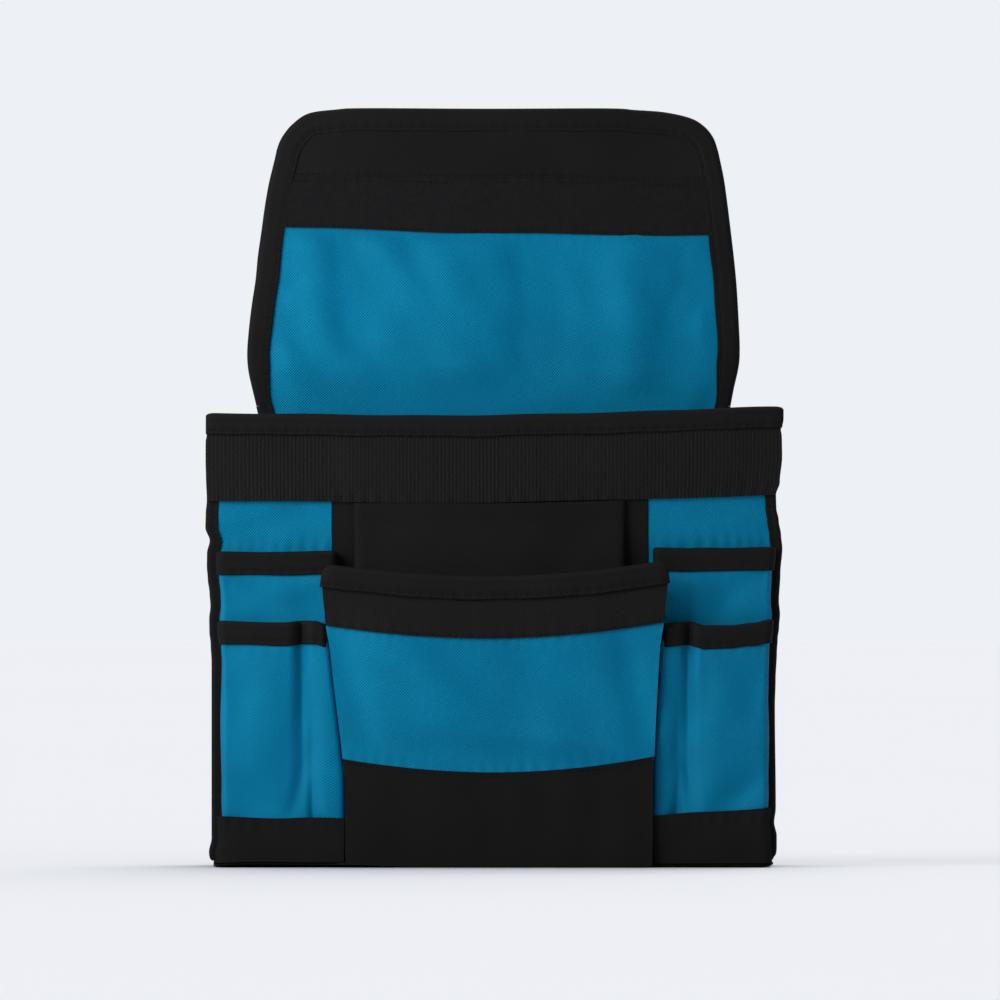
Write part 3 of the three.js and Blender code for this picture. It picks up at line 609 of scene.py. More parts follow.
def stitches(name, line, normal, put=settled, body="pouch", pitch=3.1, long=2.3, thick=0.3):
    """A row of stitches along a line of places: each is a short bead of thread, an ellipse along the line,
    sunk by a third into the cloth. normal points out of the cloth."""
    run = lengths(line)
    count = int(run[-1] // pitch)
    middles = (np.arange(count) + 0.5) * run[-1] / count
    at = np.stack([np.interp(middles, run, line[:, i]) for i in range(3)], -1)
    slope = np.stack([np.gradient(line[:, i], run) for i in range(3)], -1)
    ahead = np.stack([np.interp(middles, run, slope[:, i]) for i in range(3)], -1)
    ahead /= np.linalg.norm(ahead, axis=-1, keepdims=True)
    up = np.broadcast_to(normal, line.shape)
    up = np.stack([np.interp(middles, run, up[:, i]) for i in range(3)], -1)
    beside = np.cross(up, ahead)
    rows, columns = 5, 6
    t = np.linspace(-1, 1, rows)
    radius = thick * np.sqrt(1.04 - t**2)
    ring = np.linspace(0, 2 * math.pi, columns, endpoint=False)
    offset = (
        ahead[:, None, None] * (t * long / 2)[:, None, None]
        + beside[:, None, None] * (radius[:, None] * np.cos(ring))[..., None]
        + up[:, None, None] * (radius[:, None] * np.sin(ring) + 0.1 * thick)[..., None]
    )
    places = at[:, None, None] + offset
    points = put(places[..., 0], places[..., 1], places[..., 2])
    index = np.arange(count * rows * columns).reshape(count, rows, columns)
    turned = np.roll(index, -1, axis=2)
    quads = np.stack([index[:, :-1], turned[:, :-1], turned[:, 1:], index[:, 1:]], -1).reshape(-1, 4)
    ends = [index[:, 0, ::-1].tolist(), index[:, -1, :].tolist()]
    mesh = bpy.data.meshes.new(name)
    mesh.from_pydata(points.reshape(-1, 3).tolist(), [], quads.tolist() + ends[0] + ends[1])
    corner_vertex = np.empty(len(mesh.loops), np.int64)
    mesh.loops.foreach_get("vertex_index", corner_vertex)
    uv = np.stack(np.broadcast_arrays((t * long)[None, :, None], ring * thick, np.zeros((count, 1, 1)))[:2], -1) * MM
    mesh.uv_layers.new(name="cloth").data.foreach_set("uv", uv.reshape(-1, 2)[corner_vertex].astype(np.float32).ravel())
    mesh.polygons.foreach_set("use_smooth", np.ones(len(mesh.polygons), bool))
    if signed_volume(points) < 0:
        mesh.flip_normals()
    piece = bpy.data.objects.new(name, mesh)
    bpy.context.scene.collection.objects.link(piece)
    mesh.materials.append(thread)
    if body:
        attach(piece, body)
    return piece


def signed_volume(beads):
    """Positive if the first bead's quads, as stitches() makes them, point outwards."""
    grid = beads[0] - beads[0].mean((0, 1))
    turned = np.roll(grid, -1, axis=1)
    return (grid[:-1] * np.cross(turned[:-1], turned[1:])).sum()


def straight(start, end, step=1.2):
    """Places evenly along a straight line."""
    start, end = np.array(start, float), np.array(end, float)
    count = max(2, round(np.linalg.norm(end - start) / step) + 1)
    return start + (end - start) * np.linspace(0, 1, count)[:, None]


def always(line, direction):
    """One direction at every point of a line."""
    return np.broadcast_to(np.array(direction, float), line.shape)


FORWARD, UP = (0, 1, 0), (0, 0, 1)
for name, side in (("left", -1), ("right", 1)):
    out = (side, 0, 0)
    seam = span(f"front_seam_tape_{name}")
    crest_x = side * (max(abs(seam.left), abs(seam.right)) + 0.2)
    layers = 1.3
    foot_rise = {"left": 1.4, "right": 3.2}[name]
    crest = straight((crest_x, seam.front - layers, seam.low + foot_rise), (crest_x, seam.front - layers, seam.high - 1))
    piece, line = folded_tape(f"front_seam_binding_{name}", crest, always(crest, FORWARD), always(crest, out), 1.6, width=6.2)
    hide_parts(f"front_seam_tape_{name}")
    stitches(f"front_seam_stitches_{name}", line, FORWARD)
    seam = span(f"back_seam_tape_{name}")
    crest_x = side * HALF_BACK[name]
    crest = straight((crest_x, 1.7, seam.low + 0.3), (crest_x, 1.7, seam.high))
    piece, line = folded_tape(f"back_seam_binding_{name}", crest, always(crest, FORWARD), always(crest, out), 1.7, width=6.2)
    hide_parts(f"back_seam_tape_{name}")
    line[:, 1] = 1.7 - (line[:, 1] - 1.7)
    stitches(f"back_seam_stitches_{name}", line, (0, -1, 0))
    shoulder = span(f"shoulder_tape_{name}")
    shoulder_ends = sorted((side * (HALF_BACK[name] + 0.6), side * 131.3))
    crest = straight((shoulder_ends[0], 2.1, shoulder.high), (shoulder_ends[1], 2.1, shoulder.high))
    piece, line = folded_tape(f"shoulder_binding_{name}", crest, always(crest, FORWARD), always(crest, UP), 2.6)
    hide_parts(f"shoulder_tape_{name}")
    line[:, 1] = 2.1 - (line[:, 1] - 2.1)
    stitches(f"shoulder_stitches_{name}", line, (0, -1, 0))
    gusset = span(f"side_gusset_{name}")
    tape = span(f"gusset_tape_{name}")
    edge = side * (HALF_BACK[name] - 2.3)
    plan = rounded_path([(edge + side * 1.4, gusset.front + 2.2), (edge - side * 9.2, (gusset.front + gusset.back) / 2),
                         (edge, gusset.back - 2)], 4, 40)
    slope = np.gradient(plan, axis=0)
    slope /= np.linalg.norm(slope, axis=-1, keepdims=True)
    crest = np.column_stack([plan, np.full(len(plan), tape.high)])
    across = np.column_stack([slope[:, 1] * -side, slope[:, 0] * side, np.zeros(len(plan))])
    piece, line = folded_tape(f"gusset_binding_{name}", crest, across, always(crest, UP), 1.5)
    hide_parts(f"gusset_tape_{name}")
    flat_tape = span(f"panel_seam_tape_{name}")
    x, z = flat_grid(flat_tape.left, flat_tape.right, flat_tape.low, flat_tape.high, 2)
    piece = cloth(f"panel_seam_binding_{name}", settled(x, flat_tape.front - 0.3, z), z, x, 0.5, binding_tape)
    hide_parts(f"panel_seam_tape_{name}")


# ---------------------------------------------------------------------------------------------------------
# Front wall of the compartment. Its middle is black cloth and its ends are blue nylon twill, which has a
# satin face of fine diagonal ribs. The side pockets are sewn over the blue.

blue_twill = woven_cloth("blue_twill", (0.0001, 0.044, 0.108), (0.0006, 0.150, 0.300), 1.5, 1.0, 0.16, 0.48, painted_weave_shade_share=0.55,
                         specular=0.5, tint=(0.05, 0.75, 0.85, 1))
middle = span("front_panel_centre")
x, z = flat_grid(middle.left, middle.right, middle.low, middle.high, 2.5)
ease = np.sin(math.pi * (x - middle.left) / (middle.right - middle.left)) * 0.9
depth = middle.front - 0.6 - 0.5 * ease * (1 + waves(x, z, 45, 41))
SEAM_DRIFT = -2.7  # the front's two inner seams run a little to the left
x = x + SEAM_DRIFT
piece = cloth("front_cloth_centre", settled(x, depth, z), x, z, 1.0, black_cloth)
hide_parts("front_panel_centre")
for name, side in (("left", -1), ("right", 1)):
    panel = span(f"front_panel_{name}")
    x, z = flat_grid(panel.left, panel.right, panel.low, panel.high, 1.6)
    strip = [(side * 92, 196, side * 146, 183, 7, -0.9), (side * 100, 178, side * 148, 190, 6, 0.6)]
    depth = panel.front - 0.75 + 0.55 * folds(x, z, strip) + 0.22 * waves(x, z, 26, 50 + side) \
        - puckers(x, z - 174, 0.25) - 0.3
    x = x + SEAM_DRIFT * (1 - smooth((np.abs(x) - 87) / 45))
    piece = cloth(f"front_cloth_{name}", settled(x, depth, z), x, z, 0.9, blue_twill)
    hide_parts(f"front_panel_{name}")


# ---------------------------------------------------------------------------------------------------------
# Mouth of the compartment. A ribbed black webbing runs across the front below the edge, sewn along its foot,
# and binding tape folds over the edge and the webbing's top.

RIB = 2.1  # pitch of the webbing's ribs, which stand across its length

webbing_cloth, tree, shader = new_material("webbing")
cloth_uv = node(tree, "UVMap", uv_map="cloth").outputs["UV"]
axes = node(tree, "SeparateXYZ", {0: cloth_uv})
rib_count = maths(tree, "DIVIDE", axes.outputs["X"], RIB * MM)
odd_rib = maths(tree, "MULTIPLY", maths(tree, "FLOOR", rib_count), 0.5)
pick_count = maths(tree, "ADD", maths(tree, "DIVIDE", axes.outputs["Y"], 1.3 * MM), odd_rib)
picks = thread_wave(tree, pick_count, 1)
hollow = maths(tree, "POWER", maths(tree, "ABSOLUTE", thread_wave(tree, rib_count, 0.5)), 0.7)
raised = maths(tree, "MULTIPLY", hollow, maths(tree, "MULTIPLY_ADD", picks, 0.42, 0.58))
mottle = grouped(tree, mottle_group, {"Vector": node(tree, "TexCoord").outputs["Object"]})
# The ribs and picks make the colour lighter where they stand proud and darker in the grooves: painted highlight and
# painted shade. The mottle adds tone that differs at random.
tone = maths(tree, "MULTIPLY_ADD", raised, 0.75, maths(tree, "MULTIPLY", mottle.outputs["Tone"], 0.3))
colour = node(tree, "Mix", {"Factor": tone, "A": (0.001, 0.001, 0.0011, 1), "B": (0.0085, 0.0085, 0.0087, 1)}, data_type="RGBA")
tree.links.new(colour.outputs["Result"], shader.inputs["Base Color"])
tree.links.new(maths(tree, "MULTIPLY_ADD", raised, -0.2, 0.85), shader.inputs["Roughness"])
bump = node(tree, "Bump", {"Height": raised, "Distance": 0.22 * MM})
tree.links.new(bump.outputs["Normal"], shader.inputs["Normal"])
shader.inputs["Specular IOR Level"].default_value = 0.12


def ribbed(along):
    """How proud the webbing's ribs stand, in millimetres: rounded ribs with sharp grooves between them."""
    return 0.3 * np.abs(np.sin(math.pi * along / RIB)) ** 0.7


webbing = span("mouth_webbing")
x = np.linspace(webbing.left, webbing.right, 901)[:, None]
z = np.linspace(webbing.low, webbing.high - 1.5, 26)[None]
x, z = np.broadcast_arrays(x, z)
hang = 0.55 * waves(x, z, 70, 61) + folds(x, z, [(84, 196, 90, 222, 9, -0.9), (-84, 198, -92, 224, 9, -0.8)])
depth = webbing.front - 0.9 + 0.6 * hang + ribbed(x) - puckers(x, z - webbing.low, 0.3, 9)
edge = 0.35 * np.sin(x / 23) * smooth((webbing.low + 12 - z) / 12)
piece = cloth("mouth_band", settled(x, depth, z + edge), x - webbing.left, z, 1.1, webbing_cloth)
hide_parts("mouth_webbing")
for row, height in enumerate((1.6, 3.4)):
    line = straight((webbing.left + 2, webbing.front - 0.55, webbing.low + height),
                    (webbing.right - 2, webbing.front - 0.55, webbing.low + height))
    stitches(f"mouth_band_stitches_{row}", line, FORWARD)

mouth_tape = span("mouth_tape")
crest = straight((mouth_tape.left - 0.6, (mouth_tape.front + mouth_tape.back) / 2, mouth_tape.high - 0.7),
                 (mouth_tape.right + 0.6, (mouth_tape.front + mouth_tape.back) / 2, mouth_tape.high - 0.7), 1.0)
crest[:, 2] += 0.35 * np.sin(crest[:, 0] / 13) * np.sin(crest[:, 0] / 37 + 1)
piece, line = folded_tape("mouth_binding", crest, always(crest, FORWARD), always(crest, UP), 4.1, width=11.2)
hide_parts("mouth_tape")
stitches("mouth_stitches", line, FORWARD)


# ---------------------------------------------------------------------------------------------------------
# Slip pocket. A flat pocket of black cloth lies on the middle of the front, with its mouth hemmed.
slip = span("slip_pocket")
hem = span("slip_pocket_hem")
SLIP_TOP = webbing.low - 0.4


def slip_places(x, depth, z, along):
    """The slip pocket's cloth drawn flat under the webbing's foot: its front leans back to the wall towards
    its mouth, and it is pulled a little to the left, with slack folds away from its sides."""
    lean = 6.0 * smooth((z - 135) / 62) * (depth - slip.back) / (slip.front - slip.back)
    slack = smooth(np.minimum(along, along.max() - along) / 25) * smooth((SLIP_TOP - z) / 12)
    relax = slack * (0.9 * waves(x, z, 52, 71) + folds(x, z, [(-60, 190, -25, 160, 10, -1.2), (58, 192, 34, 165, 12, -1.0),
                                                              (-30, 184, 30, 176, 12, 0.7)]))
    return settled(x * (1 - 0.012 * smooth((z - 120) / 60)) - 3.0 * smooth((z - 110) / 60), depth - lean + relax, z)


corner, front = slip.right - 0.5, slip.front - 0.5
path = rounded_path([(-corner, slip.back), (-corner, front), (corner, front), (corner, slip.back)], 4, 120)
x, depth, z, along = standing(path, path, slip.low, SLIP_TOP, 110)
piece = cloth("slip_pocket_cloth", slip_places(x, depth, z, along), along, z, 0.8, black_cloth)
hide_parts("slip_pocket")
x, z = flat_grid(hem.left, hem.right, hem.low, SLIP_TOP - 0.3, 1.5)
along = x - hem.left + 13
piece = cloth("slip_pocket_turned_hem", slip_places(x, front - 0.9 + 0 * x, z, along), x, z, 0.7, black_cloth)
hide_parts("slip_pocket_hem")


# ---------------------------------------------------------------------------------------------------------
# Side pockets. On each side a shallow pocket of blue twill stands behind a deeper one, which has a pleat near
# the centre pocket. Their mouths are bound with tape, and a black band covers both their feet.

LEAN = 2.2  # the centre pocket's foot sits this far to the right


def centre_edge(z, side):
    """Where the centre pocket's left (-1) or right (1) edge is: it flares evenly up from its seam, faster at
    its mouth, and hangs nearly straight below."""
    share = (z - 52) / 83
    half = np.where(share > 0, 85 + 7 * share, 85 + 1.2 * share) + eased(z, [(118, 0), (136, 1.1), (152, 1.2), (164, 1.5)])
    return side * half + LEAN * (1 - smooth((z - 40) / 90))


def pocket_tape(name, node_name, plan, top, side, wave, gap=1.5):
    """Binding tape over a pocket's mouth, along a plan path of (x, depth) points. wave gives its height at
    distances from the pouch's middle."""
    slope = np.gradient(plan, axis=0)
    slope /= np.linalg.norm(slope, axis=-1, keepdims=True)
    across = np.column_stack([-slope[:, 1], slope[:, 0], np.zeros(len(plan))]) * side
    crest = np.column_stack([plan, np.full(len(plan), top)])
    crest[:, 2] += 0.25 * np.sin(crest[:, 0] / 9.5 + side) + eased(np.abs(crest[:, 0]), wave)
    piece, line = folded_tape(name, crest, across, always(crest, UP), gap)
    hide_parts(node_name)
    stitches(name.replace("binding", "stitches"), line, across)


BEHIND_BAND = 7  # the pockets' cloth ends this far up behind the foot bands, where it is sewn to the base
for name, side in (("left", -1), ("right", 1)):
    upper = span(f"upper_pocket_{name}")
    reach = {"left": -0.5, "right": 0.9}[name]  # the right pockets' outer edges lie a little further out
    outer, inner = max(abs(upper.left), abs(upper.right)) + reach, min(abs(upper.left), abs(upper.right)) + 0.5
    front = upper.front - 0.5
    corners = [[(outer, upper.back), (outer, front), (inner + lean, front), (inner + lean, upper.back)] for lean in (0, 1)]
    foot, top = (rounded_path(c, 2.4, 90) * (side, 1) for c in corners)
    x, depth, z, along = standing(foot, top, upper.low + BEHIND_BAND, upper.high, 110)
    slack = smooth(np.minimum(along, along.max() - along) / 14)
    shape = 0.35 * waves(along, z, 24, 81 + side) + folds(x, z, [
        (side * 150, 166, side * 120, 138, 8, -0.8), (side * 96, 160, side * 126, 146, 9, 0.7),
        (side * 105, 142, side * 145, 150, 7, -0.5)])
    shape = (slack * shape - puckers(along, z - 160, 0.14)) * smooth((161 - z) / 6)
    if side > 0:
        x, depth, z, along, shape = (a[::-1] for a in (x, depth, z, along, shape))
        along = along.max() - along
    x, depth = pushed(x, depth, z, shape)
    wave = {"left": [(86, 0.9), (110, 0.5), (153, 0)], "right": [(86, 1.3), (110, 0.2), (129, -0.6), (153, 0.1)]}[name]
    drawn = z + eased(np.abs(x), wave) * smooth((z - upper.high + 30) / 30)
    piece = cloth(f"upper_pocket_cloth_{name}", settled(x, depth, drawn), along, z, 0.85, blue_twill)
    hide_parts(f"upper_pocket_{name}")
    pocket_tape(f"upper_pocket_binding_{name}", f"upper_pocket_tape_{name}", top, upper.high + 1.0, side, wave)

    lower = span(f"lower_pocket_{name}")
    outer = max(abs(lower.left), abs(lower.right)) + reach
    front = lower.front - 0.5

    INNER = 90

    def to_centre(x, depth, z):
        """Moves the pocket's inner fold to the centre pocket's edge, and its root in part."""
        shift = centre_edge(z, side) + side * 0.6 - side * INNER
        near = 1 - smooth((np.abs(x) - INNER) / 10)
        return x + shift * near * (0.3 + 0.7 * smooth((depth - lower.back) / 10))

    def lower_path(inner, pleat, half, deep, outer_front):
        """The lower pocket's plan: out from the seam, along the front, into the pleat and back to the seam."""
        return rounded_path([
            (outer, lower.back), (outer_front, front), (pleat + half, front), (pleat, front - deep),
            (pleat - half, front), (inner, front), (inner, lower.back)], 2.4, 130) * (side, 1)

    foot = lower_path(INNER, 99.5, 4.2, 4.5, outer - 0.6)
    top = lower_path(INNER, 106.5, 5, 6, outer)
    x, depth, z, along = standing(foot, top, lower.low + BEHIND_BAND, lower.high, 130)
    slack = smooth(np.minimum(along, along.max() - along) / 16)
    up = (z - 27) / 95
    fullness = 1.5 * np.sin(math.pi * np.clip(up, 0, 1)) * smooth((np.abs(x) - 108) / 16)
    shape = 0.4 * waves(along, z, 33, 91 + side) + fullness + folds(x, z, [
        (side * 104, 60, side * 112, 29, 4, -0.9), (side * 100, 54, side * 97, 29, 3, 0.8),
        (side * 146, 112, side * 124, 70, 12, -0.9), (side * 120, 118, side * 132, 84, 9, 0.8),
        (side * 148, 46, side * 122, 31, 7, -0.9)])
    shape = (slack * shape - puckers(along, z - 122, 0.14)) * smooth((124 - z) / 6) * smooth((z - 24) / 6)
    if side > 0:
        x, depth, z, along, shape = (a[::-1] for a in (x, depth, z, along, shape))
        along = along.max() - along
    x, depth = pushed(to_centre(x, depth, z), depth, z, shape)
    wave = {"left": [(86, -1.6), (93, -1.2), (99, 0.3), (106, 0.4), (116, -0.3), (153, 0)],
            "right": [(86, -2.6), (93, -2.5), (100, -2.1), (107, -1.9), (116, -4.5), (130, -4.8), (142, -3.4),
                      (153, -1.2)]}[name]
    drawn = z + eased(np.abs(x), wave) * smooth((z - lower.high + 30) / 30)
    piece = cloth(f"lower_pocket_cloth_{name}", settled(x, depth, drawn), along, z, 0.85, blue_twill)
    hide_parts(f"lower_pocket_{name}")
    top = np.column_stack([to_centre(top[:, 0], top[:, 1], lower.high), top[:, 1]])
    pocket_tape(f"lower_pocket_binding_{name}", f"lower_pocket_tape_{name}", top, lower.high + 1.0, side, wave)

    band = span(f"foot_band_{name}")
    outer = max(abs(band.left), abs(band.right)) - 0.6
    inner = side * centre_edge(10, side) + 0.7
    front = band.front - 0.6
    path = rounded_path([(outer, band.back), (outer, front), (inner, front)], 5, 60) * (side, 1)
    x, depth, z, along = standing(path, path, band.low, band.high, 24)
    rise = {"left": [(86, -0.3), (110, 0), (155, 0.4)], "right": [(86, 0.4), (110, 1.2), (155, 3.6)]}[name]
    crown = 0.4 * np.sin(along / 9 + side) + eased(np.abs(x), rise)
    top_edge = crown * (z - band.low) / (band.high - band.low) + tread(x, depth) * (1 - (z - band.low) / (band.high - band.low))
    shape = 0.3 * waves(along, z, 22, 101 + side) - puckers(along, band.high - 2 - z, 0.25)
    if side > 0:
        x, depth, z, along, shape, top_edge = (a[::-1] for a in (x, depth, z, along, shape, top_edge))
        along = along.max() - along
    x, depth = pushed(x, depth, z, shape)
    piece = cloth(f"foot_band_cloth_{name}", settled(x, depth, z + top_edge), along, z, 1.0, black_cloth)
    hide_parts(f"foot_band_{name}")
    line = np.column_stack([path, band.high - 2 + 0.9 * eased(np.abs(path[:, 0]), rise)])
    slope = np.gradient(path, axis=0)
    slope /= np.linalg.norm(slope, axis=-1, keepdims=True)
    normal = np.column_stack([-slope[:, 1], slope[:, 0], np.zeros(len(path))]) * side
    stitches(f"foot_band_stitches_{name}", line + normal * 0.55, normal)


# ---------------------------------------------------------------------------------------------------------
# Centre pocket. The largest pocket stands out on two blue gussets. Its face is blue above and black below,
# it narrows towards its foot, and its sagging mouth carries narrow webbing under a folded tape.
face, foot_node, strip = span("centre_face"), span("centre_foot"), span("centre_webbing")
tape = span("centre_tape")
MOUTH_RISE = 7.0  # how much higher the mouth's ends are than its middle
SEAM_RISE = 7.5
mouth_middle = tape.high - MOUTH_RISE - 0.6
tape_foot = mouth_middle - TAPE_WIDTH
seam_middle = face.low
face_depth = face.front - 0.6


def face_places(u, z):
    """Where a point of the face is across, from -1 at its left edge to 1 at its right."""
    left, right = centre_edge(z, -1), centre_edge(z, 1)
    return (left + right) / 2 + u * (right - left) / 2


def face_relief(x, z):
    """The face's soft bulge and folds, in millimetres."""
    bulge = 1.5 * np.cos(math.pi * np.clip(x / 200, -0.5, 0.5)) * np.sin(math.pi * np.clip(z / 160, 0, 1))
    creases = folds(x, z, [
        (-62, 124, -18, 88, 15, 2.2), (-30, 122, 20, 84, 13, -1.6), (12, 118, 58, 82, 16, -2.2),
        (70, 122, 84, 70, 10, -2.0), (-84, 118, -70, 74, 9, -1.6), (30, 72, 78, 62, 9, 1.8),
        (-40, 66, 10, 60, 10, -1.2)])
    return bulge + creases + 0.3 * waves(x, z, 38, 111)


u = np.linspace(-1, 1, 130)[:, None]
v = np.linspace(0, 1, 80)[None]
low_edge = seam_middle + SEAM_RISE * u**2
high_edge = mouth_middle - 1.6 + MOUTH_RISE * u**2 - 6 * smooth((np.abs(u) - 0.85) / 0.12)
z = low_edge + (high_edge - low_edge) * v
x = face_places(u, z)
relief = face_relief(x, z) - puckers(x, z - low_edge, 0.17, 8) - puckers(x, tape_foot - 21 + MOUTH_RISE * u**2 - z, 0.14)
piece = cloth("centre_pocket_face", settled(x, face_depth + relief, z), x, z, 0.9, blue_twill)
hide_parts("centre_face")

foot_low = eased(85 * u, SOLE)
z = foot_low + (low_edge + 0.8 - foot_low) * v[:, ::2]
x = face_places(u, z)
relief = face_relief(x, z) * smooth(z / 40) + 0.35 + 0.25 * waves(x, z, 30, 113)
piece = cloth("centre_pocket_foot", settled(x, face_depth + relief, z), x, z, 1.0, black_cloth)
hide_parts("centre_foot")


def face_line(z_middle, rise, lift, ends=0.985, count=200):
    """A line of places across the face that sags in its middle, lifted off the cloth."""
    u = np.linspace(-ends, ends, count)
    z = z_middle + rise * u**2
    x = face_places(u, z)
    return np.column_stack([x, face_depth + face_relief(x, z) + lift, z])


stitches("centre_foot_stitches", face_line(seam_middle - 1.6, SEAM_RISE, 0.9), FORWARD)

strip_low = tape_foot - 21.5
x = np.linspace(-1, 1, 541)[:, None]
z_low = strip_low + MOUTH_RISE * x**2
z_high = mouth_middle - 3 + MOUTH_RISE * x**2 - 5 * smooth((np.abs(x) - 0.85) / 0.12)
z = z_low + (z_high - z_low) * np.linspace(0, 1, 22)[None]
u = x
x = face_places(u, z)
depth = face_depth + face_relief(x, z) + 1.1 + ribbed(x) - puckers(x, z - z_low, 0.2, 9)
piece = cloth("centre_pocket_band", settled(x, depth, z), x + 100, z - MOUTH_RISE * u**2, 0.9, webbing_cloth)
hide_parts("centre_webbing")
stitches("centre_band_stitches", face_line(strip_low + 1.5, MOUTH_RISE, 1.85), FORWARD)

line = face_line(mouth_middle, MOUTH_RISE, 0, ends=0.982, count=190)
line[:, 1] = (tape.front + tape.back) / 2 + face_relief(line[:, 0], line[:, 2])
slope = np.gradient(line[:, [0, 2]], axis=0)
slope /= np.linalg.norm(slope, axis=-1, keepdims=True)
out = np.column_stack([-slope[:, 1], np.zeros(len(line)), slope[:, 0]])
piece, stitch_line = folded_tape("centre_pocket_binding", line, always(line, FORWARD), out, 3.7, tuck=8, sink=4.5)
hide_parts("centre_tape")
stitches("centre_pocket_stitches", stitch_line, FORWARD)

for name, side in (("left", -1), ("right", 1)):
    gusset = span(f"centre_gusset_{name}")
    root = 84.2
    back_line = np.linspace(0, 1, 26)
    z = np.linspace(gusset.low + 3.5, gusset.high, 90)[None]
    front_x = centre_edge(z, side) - side * 0.6
    shape = smooth(back_line)[:, None]
    x = side * root + (front_x - side * root) * shape
    depth = gusset.back + (face_depth - 0.5 - gusset.back) * back_line[:, None] + 0 * z
    hold = np.sin(math.pi * back_line)[:, None]
    x = x + side * hold * 0.5 * waves(depth, z + 0 * x, 22, 121 + side)
    depth = depth + face_relief(x, z + 0 * x) * shape
    z = z + 0 * x
    if side < 0:
        x, depth, z = (a[::-1] for a in (x, depth, z))
    piece = cloth(f"centre_gusset_cloth_{name}", settled(x, depth, z)[::-1], depth[::-1], z[::-1], 0.8, blue_twill)
    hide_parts(f"centre_gusset_{name}")


# ---------------------------------------------------------------------------------------------------------
# Flap. Black cloth outside and blue twill inside are laid together round a board, bound with tape. At its
# tip, inside, are a black facing and a strip of soft loop that closes on the pouch. Its folds are at the
# mouth and at the board's lower edge.

def evenly_curved(points, count):
    """A smooth line through points: a Catmull-Rom curve, then sampled evenly along its length."""
    p = np.array(points, float)
    p = np.concatenate([[2 * p[0] - p[1]], p, [2 * p[-1] - p[-2]]])
    t = np.linspace(0, 1, 12, endpoint=False)[:, None, None]
    a, b, c, d = p[:-3], p[1:-2], p[2:-1], p[3:]
    curve = 0.5 * (2 * b + (c - a) * t + (2 * a - 5 * b + 4 * c - d) * t**2 + (3 * b - a - 3 * c + d) * t**3)
    return evenly(np.concatenate([curve.transpose(1, 0, 2).reshape(-1, 2), p[-2:-1]]), count)


# The flap's edge, from the mouth up its left side, over the tip and down its right side: (x, z).
FLAP_EDGE = [
    (-132.0, HINGE_HIGH), (-134.4, 263.2), (-136.4, 273), (-137.0, 283), (-136.0, 296.3), (-134.4, 309.6), (-132.4, 322.8),
    (-131.1, 336.1), (-129.2, 349.4), (-127.4, 362.6), (-125.1, 375.9), (-121.9, 389.2), (-120.2, 396.3), (-117.4, 402.4),
    (-111.8, 409.2), (-103, 415.0), (-88.4, 417.1), (-71.8, 417.9), (-5.5, 417.6), (60.8, 417.8), (77.3, 416.9),
    (93.9, 415.6), (107.9, 412.4), (115.4, 408.0), (120.3, 402.2), (122.8, 395.8), (124.4, 389.2), (127.0, 375.9),
    (130.4, 349.4), (133.3, 322.8), (134.9, 296.3), (135.3, 283.1), (134.6, 274.5), (132.2, 263.2), (130.3, HINGE_HIGH),
]
edge_line = evenly_curved(FLAP_EDGE, 560)
peak = len(edge_line) // 2
left_edge, right_edge = edge_line[: peak + 1], edge_line[peak:][::-1]


def edge_x(z, inset=0.0):
    """The left and right edges of the flap at a height, moved in by an inset."""
    order_left, order_right = np.argsort(left_edge[:, 1]), np.argsort(right_edge[:, 1])
    return (np.interp(z, left_edge[order_left, 1], left_edge[order_left, 0]) + inset,
            np.interp(z, right_edge[order_right, 1], right_edge[order_right, 0]) - inset)


def flap_rows(inset, low, high, columns, rows):
    """x and z of a grid that fills the flap between two heights, inside its edge. Rows draw together at the tip."""
    v = np.linspace(0, 1, rows)
    z = low + (high - low) * v
    left, right = edge_x(z + inset, inset)
    u = np.linspace(0, 1, columns)[:, None]
    return left + (right - left) * u, np.broadcast_to(z, (columns, rows)), u


def bend_tip(piece):
    """The piece's place baked into its mesh, where it stays as it lies at rest."""
    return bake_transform(piece)


FLAP_TOP = left_edge[:, 1].max()
x, z, u = flap_rows(1.9, HINGE_HIGH, FLAP_TOP - 3, 150, 110)
held = smooth(np.minimum(u, 1 - u) / 0.08) * smooth((FLAP_TOP - z) / 30)
outer_shape = held * (0.5 * waves(x, z, 60, 131) + 0.5 * waves(x, z, 24, 133) * smooth((SECOND_FOLD + 12 - z) / 20))
piece = cloth("flap_outer_cloth", place(x, 1.3 - 0.35 * outer_shape, z)[::-1], -x[::-1], z[::-1], 0.8, black_cloth,
              body=None)
bend_tip(piece)
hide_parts("flap_root_cloth", "flap_tongue_cloth")

# The blue inside is cut a little full, so it stands in soft folds between the tape and the strip.
x, z, u = flap_rows(2, HINGE_HIGH, FLAP_TOP - 3, 230, 150)
left, right = edge_x(z)
held = smooth((np.minimum(x - left, right - x) - 10.5) / 14) * smooth((353 - z) / 12)
flap_folds = folds(x, z, [
    (-101, 338, -96, 288, 12, 1.4), (-85, 342, -78, 296, 11, -1.6), (-62, 344, -46, 318, 9, 1.3),
    (-18, 348, -14, 260, 24, 2.3), (26, 348, 28, 260, 17, -1.9), (75, 346, 76, 266, 19, 2.2),
    (107, 342, 107, 288, 9, -1.3), (118, 330, 96, 296, 8, -1.0), (-130, 326, -112, 322, 5, -1.9),
    (-114, 278, -62, 264, 14, 2.0), (-120, 300, -92, 270, 10, -1.3), (60, 282, 118, 268, 14, -1.2),
    (122, 318, 104, 310, 5, -1.3)])
above_board = 0.9 + flap_folds + 0.45 * waves(x, z, 30, 141)
above_board = (above_board + np.sqrt(above_board**2 + 0.5)) / 2  # hollows flatten where they touch the board
at_mouth = smooth((z - HINGE_HIGH) / 24)
MOUTH_FULLNESS = 0.9  # how far the lining stands off its seam plane where it reaches the mouth
lining_shape = held * (MOUTH_FULLNESS + at_mouth * (above_board - MOUTH_FULLNESS - puckers(x, 352 - z, 0.15)))
